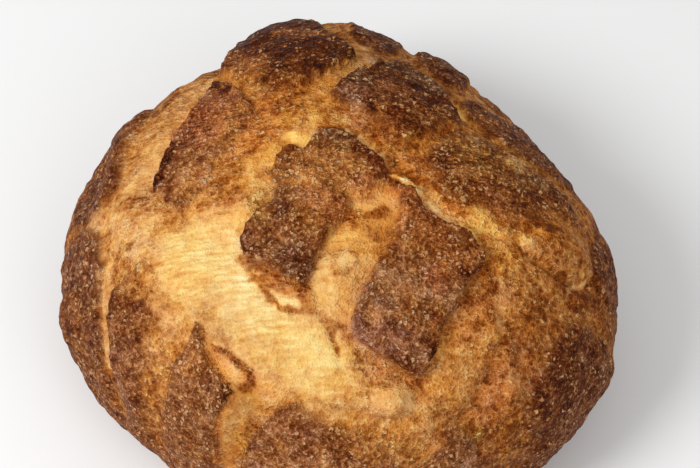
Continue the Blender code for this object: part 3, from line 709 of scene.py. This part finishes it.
# Roughness of the burst crust: above 0 more netted, below 0 smoother than its tone has it
ROUGH_STROKES = (
    (1.0, 5, (22, -2), (33, -9), (48, -18), (58, -24), (62, -33)),
    (0.8, 5, (74, -24), (82, -28), (96, -30)), (0.2, 14, (-92, -8), (-84, -20), (-94, -30)),
    (0.1, 12, (0, -94), (18, -92), (34, -98)), (-0.6, 8, (-42, -100), (-52, -112), (-58, -126)),
    (-0.4, 6, (16, -22), (20, -14), (16, -30)),
    (-0.6, 5, (-38, -42), (-34, -50), (-26, -58), (-16, -62)),
)


def painted(u, v, ground, strokes):
    """The ground with every stroke laid over it in turn."""
    value = ground.copy()
    for amount, half_width, *points in strokes:
        distance, _, _ = nearest_on_line(u, v, points[:-1], points[1:])
        value += (amount - value) * (1.0 - smoothstep(*STROKE_EDGE, distance / half_width))
    return value


def wandering(u, v):
    """The places moved a little by noise, so that strokes painted there have ragged sides."""
    flat = np.stack((u, v, np.zeros(len(u))), axis=1)
    for length, reach in STROKE_WANDER:
        u = u + reach * noise_at(flat, length)
        v = v + reach * noise_at(flat, length, NOISE_ORIGIN + WANDER_APART)
    return u, v


def tone_of_burst(u, v, crust):
    """Gold at the top, browner towards the rim, with the strokes of the burst crust."""
    ground = BURST_TONE + (RIM_TONE - BURST_TONE) * smoothstep(*RIM_BROWNS, crust)
    return painted(u, v, ground, BURST_STROKES)


# Crust
# One closed piece, finished all round. A cube cut into even cells is blown up to a ball
# and laid on the dough's form, then everything above is added along the normals.

CELLS_PER_CUBE_EDGE = 129
FOOT_CAP_STARTS = 148.0
SIDE_SKIN_STARTS = (138.0, 168.0)
SIDE_SKIN_WAVES = (38.0, 34.0)
SIDE_SKIN_DEPTH = 20.0
FOOT_TONE = 66.0
FOOT_EDGE = (-14.0, 4.0)
FLECKS_LOST_ON_FOOT = 0.7


def round_cage(cells):
    """A cube cut into even cells, as mesh data with its corners still on the cube."""
    cage = bmesh.new()
    bmesh.ops.create_cube(cage, size=2.0)
    bmesh.ops.subdivide_edges(cage, edges=cage.edges[:], cuts=cells - 1, use_grid_fill=True)
    mesh = bpy.data.meshes.new("crust")
    cage.to_mesh(mesh)
    cage.free()
    return mesh


def skin_places(mesh):
    """Where each corner of the cage lies on the flattened skin."""
    corners = np.empty(len(mesh.vertices) * 3)
    mesh.vertices.foreach_get("co", corners)
    ball = np.tan(corners.reshape(-1, 3) * math.pi / 4)
    ball /= np.linalg.norm(ball, axis=1)[:, None]
    fall = np.degrees(np.arccos(np.clip(ball[:, 2], -1.0, 1.0)))
    crust = np.interp(fall, (0.0, FOOT_CAP_STARTS, 180.0), (0.0, FOOT_RIM, FOOT_MIDDLE))
    bearing = np.arctan2(ball[:, 1], ball[:, 0])
    return crust * np.cos(bearing), crust * np.sin(bearing)


def add_attribute(mesh, name, *columns):
    """Give each point of the mesh three numbers for the material to read."""
    attribute = mesh.attributes.new(name, "FLOAT_VECTOR", "POINT")
    attribute.data.foreach_set("vector", np.stack(columns, axis=1).ravel())


def build_crust():
    """The whole crust as one mesh, and how far its plan was moved to be centred."""
    mesh = round_cage(CELLS_PER_CUBE_EDGE)
    u, v = skin_places(mesh)
    crust = np.hypot(u, v)
    points, normals = form_at(u, v)
    skin = Skin(u, v)
    flap_depth, _ = depth_in_panel(u, v, UNDER_LIP)
    flap = smoothstep(*UNDER_LIP_EDGE, flap_depth)
    covered = smoothstep(-0.5, 0.5, skin.depth / skin.slope)
    weights = fibre_weights(u, v, covered)
    cut_zone = 1.0 - smoothstep(*CUTS_FADE, crust)
    off_foot = 1.0 - smoothstep(*FOOT_FADE, crust)
    relief = np.maximum(skin.relief, UNDER_LIP_RISE * flap) + burst_relief(u, v, skin.gap)
    relief = relief + fibre_wrinkles(u, v, weights) + ring_relief(u, v)
    relief = relief * cut_zone
    for length, rise in DOUGH_WAVES:
        relief = relief + rise * noise_at(points, length)
    wave_length, wave_reach = SIDE_SKIN_WAVES
    side = smoothstep(*SIDE_SKIN_STARTS, crust + wave_reach * noise_at(points, wave_length))
    old_skin = np.maximum(covered, side)
    blistered = BLISTERS_ON_BURST + (1.0 - BLISTERS_ON_BURST) * old_skin
    for length, rise in SKIN_BLISTERS:
        relief = relief + rise * blistered * noise_at(points, length)
    points = points + normals * (relief * off_foot)[:, None]
    points[:, 2] = np.maximum(points[:, 2], 0.0)
    middle = (points.min(axis=0) + points.max(axis=0)) / 2
    points[:, :2] -= middle[:2]
    mesh.vertices.foreach_set("co", (points * MM).ravel())

    depth = np.maximum(skin.depth, SIDE_SKIN_DEPTH * (2.0 * side - 1.0))
    slope = np.where(side > 0.0, SIDE_SKIN_DEPTH, skin.slope)
    u, v = wandering(u, v)
    zero = np.zeros(len(u))
    foot = smoothstep(*FOOT_EDGE, crust - FOOT_RIM)
    skin_tone = painted(u, v, skin.tone, SKIN_STROKES)
    skin_tone += (FOOT_TONE - skin_tone) * foot
    burst_tone = tone_of_burst(u, v, crust)
    flecks = painted(u, v, zero + 1.0, FLECK_STROKES) * (1.0 - FLECKS_LOST_ON_FOOT * foot)
    warm = painted(u, v, zero + WARM_GROUND, WARM_STROKES)
    red = painted(u, v, zero, RED_STROKES)
    rough = painted(u, v, zero, ROUGH_STROKES)
    add_attribute(mesh, "panel_edge", depth, slope, flecks)
    add_attribute(mesh, "tone", skin_tone, burst_tone, rough)
    add_attribute(mesh, "tint", warm, red, zero)
    add_attribute(mesh, "fibres", *weights.T)
    mesh.shade_smooth()
    loaf = bpy.data.objects.new("crust", mesh)
    bpy.context.scene.collection.objects.link(loaf)
    return loaf, middle


crust_piece, PLAN_MIDDLE = build_crust()
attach(crust_piece, "root")
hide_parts("loaf")


# Crust finish
# Baked flour: a dry, faintly glossy surface. Everything that varies the colour is added up
# on the tone scale, and the sum is turned into a colour at the end: one row of browns for
# the old skin, one that runs through gold to cream for the burst crust.


def put(tree, kind, feeds=(), **settings):
    """Add a node, set its properties, and link or set its inputs."""
    node = tree.nodes.new(kind)
    for name, value in settings.items():
        setattr(node, name, value)
    for socket, value in feeds:
        if isinstance(value, bpy.types.NodeSocket):
            tree.links.new(value, node.inputs[socket])
        else:
            node.inputs[socket].default_value = value
    return node


def calc(tree, operation, *values, clamp=False):
    """A Math node's result."""
    feeds = tuple(enumerate(values))
    return put(tree, "ShaderNodeMath", feeds, operation=operation, use_clamp=clamp).outputs[0]


def added_up(tree, total, *parts):
    """The total with each part added by its weight."""
    for part, weight in parts:
        total = calc(tree, "MULTIPLY_ADD", part, weight, total)
    return total


def soft_step(tree, value, low, high, to_low=0.0, to_high=1.0):
    """to_low below low and to_high above high."""
    feeds = (("Value", value), ("From Min", low), ("From Max", high),
             ("To Min", to_low), ("To Max", to_high))
    node = put(tree, "ShaderNodeMapRange", feeds, interpolation_type="SMOOTHSTEP")
    return node.outputs["Result"]


def grain(tree, place, wavelength, detail=2.0, roughness=0.5):
    """Noise around 0 whose lumps are about a wavelength across, in millimetres."""
    feeds = (("Vector", place), ("Scale", 1.0 / wavelength), ("Detail", detail),
             ("Roughness", roughness))
    fac = put(tree, "ShaderNodeTexNoise", feeds).outputs["Fac"]
    return calc(tree, "SUBTRACT", fac, 0.5)


def new_group(name, inputs, outputs):
    """An empty node group with vector inputs and float outputs."""
    tree = bpy.data.node_groups.new(name, "ShaderNodeTree")
    for label in inputs:
        tree.interface.new_socket(label, in_out="INPUT", socket_type="NodeSocketVector")
    for label in outputs:
        tree.interface.new_socket(label, in_out="OUTPUT", socket_type="NodeSocketFloat")
    entry = tree.nodes.new("NodeGroupInput")
    leave = tree.nodes.new("NodeGroupOutput")
    return tree, entry, leave


def place_in_sizes(tree, entry):
    """The group's place, measured in its size."""
    feeds = ((0, entry.outputs["Place"]), (1, entry.outputs["Size"]))
    return put(tree, "ShaderNodeVectorMath", feeds, operation="DIVIDE").outputs[0]


GRAIN_PUSH = (1.1, 1.1, 1.1)
GRAIN_PUSH_SCALE = 1.3
GRAIN_EDGE = (0.24, 0.50)
GRAIN_CHANCE = (0.15, 0.80)
STRAND_NOISE = (1.0, 2.0, 0.6)
STRAND_EDGE = (0.0, 0.10)


def grain_group():
    """Small raised grains, some of them tall: 1 on the tallest, 0 between them."""
    tree, entry, leave = new_group("grains", ("Place", "Size"), ("Amount",))
    scaled = place_in_sizes(tree, entry)
    feeds = (("Vector", scaled), ("Scale", GRAIN_PUSH_SCALE), ("Detail", 1.0))
    push = put(tree, "ShaderNodeTexNoise", feeds).outputs["Color"]
    feeds = ((0, push), (1, GRAIN_PUSH), (2, scaled))
    pushed = put(tree, "ShaderNodeVectorMath", feeds, operation="MULTIPLY_ADD").outputs[0]
    cells = put(tree, "ShaderNodeTexVoronoi", (("Vector", pushed), ("Scale", 1.0)))
    top = soft_step(tree, cells.outputs["Distance"], *GRAIN_EDGE, 1.0, 0.0)
    chance = put(tree, "ShaderNodeSeparateXYZ", ((0, cells.outputs["Color"]),)).outputs[0]
    amount = calc(tree, "MULTIPLY", top, soft_step(tree, chance, *GRAIN_CHANCE))
    tree.links.new(amount, leave.inputs["Amount"])
    return tree


def strand_group():
    """Soft pale strands between pits, as in torn gluten: 1 on a strand, 0 in the pits."""
    tree, entry, leave = new_group("strands", ("Place", "Size"), ("Amount",))
    field = grain(tree, place_in_sizes(tree, entry), *STRAND_NOISE)
    amount = soft_step(tree, calc(tree, "ABSOLUTE", field), *STRAND_EDGE, 1.0, 0.0)
    tree.links.new(amount, leave.inputs["Amount"])
    return tree


# Along, across and up, for each direction of the fibres
FIBRE_SCALES = ((0.11, 0.60, 0.2), (0.20, 0.80, 0.3), (0.16, 0.65, 0.3))
FIBRE_NOISE = (1.0, 2.0, 0.5)


def fibre_group():
    """Streaks along the fibres in three directions, about 0 on average."""
    tree, entry, leave = new_group("torn_fibres", ("Place", "Strength"), ("Amount",))
    strengths = put(tree, "ShaderNodeSeparateXYZ", ((0, entry.outputs["Strength"]),)).outputs
    total = 0.0
    for degrees, scale, strength in zip(FIBRES, FIBRE_SCALES, strengths):
        turned = put(tree, "ShaderNodeMapping",
                     (("Vector", entry.outputs["Place"]),
                      ("Rotation", (0.0, 0.0, -math.radians(degrees))),
                      ("Scale", scale)))
        streak = grain(tree, turned.outputs[0], *FIBRE_NOISE)
        total = added_up(tree, total, (streak, strength))
    tree.links.new(total, leave.inputs["Amount"])
    return tree


def srgb(red, green, blue):
    """A colour as seen on a screen, 0 to 255, as the shader's own linear numbers."""
    shares = (c / 255.0 for c in (red, green, blue))
    return (*(s / 12.92 if s <= 0.04045 else ((s + 0.055) / 1.055) ** 2.4 for s in shares), 1.0)


# Colours by tone
TONE_TOP = 220.0
BURST_COLOURS = (
    (0, (50, 18, 4)), (63, (117, 57, 14)), (75, (133, 70, 23)), (85, (145, 81, 30)),
    (99, (160, 95, 42)), (115, (177, 113, 55)), (134, (195, 133, 73)), (152, (211, 154, 91)),
    (167, (221, 171, 107)), (180, (229, 187, 123)), (192, (233, 202, 141)),
    (215, (245, 226, 175)),
)
SKIN_COLOURS = (
    (0, (40, 14, 4)), (34, (77, 31, 6)), (46, (88, 40, 12)), (62, (107, 56, 25)),
    (73, (119, 67, 33)), (84, (132, 78, 42)), (96, (145, 91, 53)), (109, (159, 104, 65)),
    (123, (173, 118, 77)), (137, (187, 133, 90)), (160, (208, 155, 109)),
    (200, (235, 200, 165)),
)
WARM_CAST = (1.11, 1.0, 0.62, 1.0)
GREY_CAST = (0.88, 1.0, 1.60, 1.0)
RED_CAST = (1.03, 0.88, 1.06, 1.0)
OLIVE_CAST = (0.98, 1.10, 0.94, 1.0)

# Noises of the whole crust: wavelength in millimetres, detail, roughness
MOTTLE = (6.0, 3.0, 0.95)
FINE = (1.5, 1.0, 0.7)
MIDDLE = (5.5, 3.0, 0.6)
CROWDS = (9.0, 1.0)
WARM_PATCHES = (7.0, 1.0)
RED_PATCHES = (4.5, 2.0)

# What each marking adds to the tone, with its size in millimetres, its edges and its mean
MOTTLE_TONES = 240.0
SPECK_TONES = 20.0
SPECK_STEP = (0.03, 0.16)
SPECK_MEAN = 0.25
# The pale grains: paler blister tops, and partly painted highlights where the light catches them
GRAIN_TONES = 56.0
GRAIN_TONES_ON_BURST = 22.4
GRAIN_SIZES_AND_SHARES = ((2.6, 1.5), (1.6, 0.5))
GRAIN_CROWDING = (-0.14, 0.14, 0.35, 1.6)
GRAIN_MEAN = 0.21
STRAND_TONES = 38.0
STRAND_SIZES = (8.0, 4.0)
SMALL_STRAND_SHARE = 0.8
STRAND_MEAN = 0.45
FIBRE_TONES = 95.0
LIP_TONES = -8.0
LIP_DARK = (0.5, 3.0)
LIP_CRISP = (2.0, 5.0)

# Edge of the old skin: how ragged it is, and its fade as a share of its slope
RAGGED_FINE = 4.0
RAGGED_MIDDLE = 2.0
EDGE_FADE = 1.2
EDGE_FADE_LESS = -1.6
EDGE_FADE_LEAST = 0.8

# The palest that skin and burst crust get: a least limit, and a margin over the painted tone
SKIN_LIMIT = (158.0, 30.0)
BURST_LIMIT = (178.0, 25.0)
LIMIT_SOFTNESS = 25.0

# From browned to cream: the two tones, then how strong mottle, drifts and relief are there
BROWNED = (100.0, 155.0, 1.0, 0.0)
COARSE = (120.0, 185.0, 0.95, 0.28)
STEADY = (120.0, 180.0, 1.0, 0.3)
SMOOTH = (120.0, 185.0, 1.0, 0.5)
ROUGH_TONES = -70.0

# How far the colour drifts, and how little of its warmth is left on pale grains
WARM_DRIFT = 2.6
RED_DRIFT = 2.0
WARM_ON_GRAINS = (0.1, 0.9, 1.0, 0.35)

# Roughness of the surface, and heights of the markings in millimetres
SKIN_GLOSS = -0.10
CRUST_ROUGHNESS = 0.62
ROUGHNESS_DRIFT = 0.3
SHEEN_LEVEL = 0.04
MOTTLE_HEIGHT = 2.6
FINE_HEIGHT = 0.4
FIBRE_HEIGHT = 0.9
GRAIN_HEIGHT = 0.95
GRAIN_HEIGHT_ON_BURST = 0.6
STRAND_HEIGHT = 0.6


def colour_of(tree, tone, stops):
    """The colour that a tone has in a row of colours."""
    ramp = put(tree, "ShaderNodeValToRGB", (("Fac", calc(tree, "DIVIDE", tone, TONE_TOP)),))
    elements = ramp.color_ramp.elements
    while len(elements) < len(stops):
        elements.new(0.5)
    for element, (place, colour) in zip(elements, stops):
        element.position = place / TONE_TOP
        element.color = srgb(*colour)
    return ramp.outputs["Color"]


def cast_both_ways(tree, colour, amount, above, below):
    """Multiply a colour by one cast where the amount is above 0, by the other below."""
    for sign, tint in ((1.0, above), (-1.0, below)):
        share = calc(tree, "MULTIPLY", amount, sign, clamp=True)
        colour = put(tree, "ShaderNodeMix", ((0, share), (6, colour), (7, tint)),
                     data_type="RGBA", blend_type="MULTIPLY").outputs[2]
    return colour


def no_paler_than(tree, tone, painted_tone, limit):
    """Bend the palest tones down towards a limit."""
    least, margin = limit
    most = calc(tree, "MAXIMUM", calc(tree, "ADD", painted_tone, margin), least)
    return calc(tree, "SMOOTH_MIN", tone, most, LIMIT_SOFTNESS)


def crust_material():
    """Browned crust: old skin and burst crust, each coloured by its tone."""
    material = bpy.data.materials.new("baked_crust")
    material.use_nodes = True
    tree = material.node_tree
    shader = tree.nodes["Principled BSDF"]

    coordinates = put(tree, "ShaderNodeTexCoord")
    per_mm = 1.0 / MM
    place = put(tree, "ShaderNodeVectorMath",
                ((0, coordinates.outputs["Object"]), (1, (per_mm, per_mm, per_mm))),
                operation="MULTIPLY").outputs[0]

    def three_numbers(name):
        """The three numbers that each point of the mesh has under this name."""
        vector = put(tree, "ShaderNodeAttribute", attribute_name=name).outputs["Vector"]
        return put(tree, "ShaderNodeSeparateXYZ", ((0, vector),)).outputs

    depth, slope, flecks = three_numbers("panel_edge")
    skin_tone, burst_tone, rough = three_numbers("tone")
    warm, red, _ = three_numbers("tint")

    mottle, fine, middle = (grain(tree, place, *kind) for kind in (MOTTLE, FINE, MIDDLE))
    specks = calc(tree, "SUBTRACT", soft_step(tree, fine, *SPECK_STEP), SPECK_MEAN)

    def placed(group, size):
        """A group laid over the crust, with its markings of this size."""
        node = put(tree, "ShaderNodeGroup", node_tree=group)
        tree.links.new(place, node.inputs["Place"])
        node.inputs["Size"].default_value = (size, size, size)
        return node.outputs["Amount"]

    grains = grain_group()
    sorts = [(placed(grains, size), share) for size, share in GRAIN_SIZES_AND_SHARES]
    crowded = soft_step(tree, grain(tree, place, *CROWDS), *GRAIN_CROWDING)
    bubbles = added_up(tree, 0.0, *sorts)
    bubbles = calc(tree, "MULTIPLY_ADD", bubbles, crowded, -GRAIN_MEAN)
    bubbles = calc(tree, "MULTIPLY", bubbles, flecks)
    strands = strand_group()
    large_strands, small_strands = (placed(strands, size) for size in STRAND_SIZES)
    strand = calc(tree, "MAXIMUM", large_strands,
                  calc(tree, "MULTIPLY", small_strands, SMALL_STRAND_SHARE))
    fibre_node = put(tree, "ShaderNodeGroup", node_tree=fibre_group())
    strength = put(tree, "ShaderNodeAttribute", attribute_name="fibres").outputs["Vector"]
    tree.links.new(place, fibre_node.inputs["Place"])
    tree.links.new(strength, fibre_node.inputs["Strength"])
    fibre = fibre_node.outputs["Amount"]

    # where the old skin ends: ragged, crisp on torn edges and wide on soft ones
    ragged = calc(tree, "MULTIPLY_ADD", fine, RAGGED_FINE, depth)
    reach = calc(tree, "ADD", slope, RAGGED_MIDDLE)
    ragged = calc(tree, "MULTIPLY_ADD", middle, reach, ragged)
    fade = calc(tree, "MULTIPLY_ADD", slope, EDGE_FADE, EDGE_FADE_LESS)
    fade = calc(tree, "MAXIMUM", fade, EDGE_FADE_LEAST)
    on_skin = soft_step(tree, calc(tree, "DIVIDE", ragged, fade), -0.5, 0.5)

    # old skin: mottled, with pale grains, partly painted highlights, and specks, darker along the
    # torn lips
    skin = added_up(tree, skin_tone, (mottle, MOTTLE_TONES), (bubbles, GRAIN_TONES),
                    (specks, SPECK_TONES), (fibre, FIBRE_TONES))
    skin = no_paler_than(tree, skin, skin_tone, SKIN_LIMIT)
    lip = soft_step(tree, calc(tree, "ABSOLUTE", depth), *LIP_DARK, LIP_TONES, 0.0)
    crisp = soft_step(tree, slope, *LIP_CRISP, 1.0, 0.0)
    skin = calc(tree, "MULTIPLY_ADD", lip, crisp, skin)

    # burst crust: smooth where it is cream, mottled and stranded where it browned
    paleness = calc(tree, "MULTIPLY_ADD", rough, ROUGH_TONES, burst_tone)
    browned = soft_step(tree, paleness, *BROWNED)
    clouds = calc(tree, "MULTIPLY", mottle, soft_step(tree, paleness, *COARSE))
    netted = calc(tree, "MULTIPLY", calc(tree, "SUBTRACT", strand, STRAND_MEAN), browned)
    # pale grains where the burst crust browned, partly painted highlights
    knots = calc(tree, "MULTIPLY", bubbles, browned)
    burst = added_up(tree, burst_tone, (clouds, MOTTLE_TONES), (netted, STRAND_TONES),
                     (knots, GRAIN_TONES_ON_BURST), (fibre, FIBRE_TONES))
    burst = no_paler_than(tree, burst, burst_tone, BURST_LIMIT)

    # colour: the tone's own, drifting warmer, greyer, pinker and more olive
    colour = put(tree, "ShaderNodeMix", ((0, on_skin), (6, colour_of(tree, burst, BURST_COLOURS)),
                                         (7, colour_of(tree, skin, SKIN_COLOURS))),
                 data_type="RGBA").outputs[2]
    steady = soft_step(tree, burst, *STEADY)
    drift = calc(tree, "MULTIPLY", grain(tree, place, *WARM_PATCHES), steady)
    warm = calc(tree, "MULTIPLY_ADD", drift, WARM_DRIFT, warm)
    warm = calc(tree, "MULTIPLY", warm, soft_step(tree, bubbles, *WARM_ON_GRAINS))
    drift = calc(tree, "MULTIPLY", grain(tree, place, *RED_PATCHES), steady)
    red = calc(tree, "MULTIPLY_ADD", drift, RED_DRIFT, red)
    colour = cast_both_ways(tree, colour, warm, WARM_CAST, GREY_CAST)
    colour = cast_both_ways(tree, colour, red, RED_CAST, OLIVE_CAST)
    tree.links.new(colour, shader.inputs["Base Color"])

    roughness = added_up(tree, CRUST_ROUGHNESS, (on_skin, SKIN_GLOSS), (fine, ROUGHNESS_DRIFT))
    tree.links.new(roughness, shader.inputs["Roughness"])
    shader.inputs["Specular IOR Level"].default_value = SHEEN_LEVEL

    # heights: mottle and fibres, less on cream, then grains and strands
    bare_tone = calc(tree, "MULTIPLY", burst_tone, calc(tree, "SUBTRACT", 1.0, on_skin))
    height = added_up(tree, 0.0, (mottle, MOTTLE_HEIGHT), (fine, FINE_HEIGHT),
                      (fibre, FIBRE_HEIGHT))
    height = calc(tree, "MULTIPLY", height, soft_step(tree, bare_tone, *SMOOTH))
    raised = calc(tree, "MAXIMUM", on_skin, calc(tree, "MULTIPLY", browned, GRAIN_HEIGHT_ON_BURST))
    raised = calc(tree, "MULTIPLY", bubbles, raised)
    height = added_up(tree, height, (raised, GRAIN_HEIGHT), (netted, STRAND_HEIGHT))
    bump = put(tree, "ShaderNodeBump", (("Height", height), ("Strength", 1.0), ("Distance", MM)))
    tree.links.new(bump.outputs["Normal"], shader.inputs["Normal"])
    return material


crust_piece.data.materials.append(crust_material())


# Table, light and camera
# The loaf lies on a plain white table under broad soft studio light from the upper left,
# seen from well above the front.

TABLE_SIZE = 6.0
TABLE_DROP = 0.5
TABLE_COLOUR = (0.86, 0.86, 0.86, 1.0)
TABLE_ROUGHNESS = 0.9
WORLD_STRENGTH = 0.62
LIGHT_TARGET = (0.0, 0.0, 0.05)
# Each light's place in metres, its width and its watts
LIGHTS = {
    "key": ((-0.9, -0.5, 1.1), 0.6, 13.4),
    "fill": ((0.6, -0.9, 1.0), 0.9, 2.5),
}
CAMERA_ELEVATION = 56.0
CAMERA_DISTANCE = 0.8
CAMERA_TARGET = (4.0, 8.0, 57.0)
CAMERA_LENS = 96.0
CAMERA_SENSOR = 36.0

bpy.ops.mesh.primitive_plane_add(size=TABLE_SIZE, location=(0.0, 0.0, -TABLE_DROP * MM))
table = bpy.context.object
table.name = "table"
table_finish = bpy.data.materials.new("white_table")
table_finish.use_nodes = True
table_shader = table_finish.node_tree.nodes["Principled BSDF"]
table_shader.inputs["Base Color"].default_value = TABLE_COLOUR
table_shader.inputs["Roughness"].default_value = TABLE_ROUGHNESS
table.data.materials.append(table_finish)

world = bpy.data.worlds.new("studio")
world.use_nodes = True
sky = world.node_tree.nodes["Background"]
sky.inputs["Color"].default_value = (1.0, 1.0, 1.0, 1.0)
sky.inputs["Strength"].default_value = WORLD_STRENGTH
bpy.context.scene.world = world


def soft_light(name, place, size, watts):
    """An area light that looks at the middle of the loaf."""
    lamp = bpy.data.lights.new(name, "AREA")
    lamp.shape = "DISK"
    lamp.size = size
    lamp.energy = watts
    holder = bpy.data.objects.new(name, lamp)
    holder.location = place
    aim = Vector(LIGHT_TARGET) - Vector(place)
    holder.rotation_euler = aim.to_track_quat("-Z", "Y").to_euler()
    bpy.context.scene.collection.objects.link(holder)


for name, (place, width, watts) in LIGHTS.items():
    soft_light(name, place, width, watts)

camera = bpy.data.objects.new("camera", bpy.data.cameras.new("camera"))
camera.data.sensor_width = CAMERA_SENSOR
camera.data.lens = CAMERA_LENS
tilt = math.radians(CAMERA_ELEVATION)
target = Vector((CAMERA_TARGET[0] - PLAN_MIDDLE[0], CAMERA_TARGET[1] - PLAN_MIDDLE[1],
                 CAMERA_TARGET[2])) * MM
back = Vector((0.0, -math.cos(tilt), math.sin(tilt)))
camera.location = target + back * CAMERA_DISTANCE
camera.rotation_euler = (math.pi / 2 - tilt, 0.0, 0.0)
bpy.context.scene.collection.objects.link(camera)
bpy.context.scene.camera = camera
bpy.context.scene.view_settings.view_transform = "Standard"
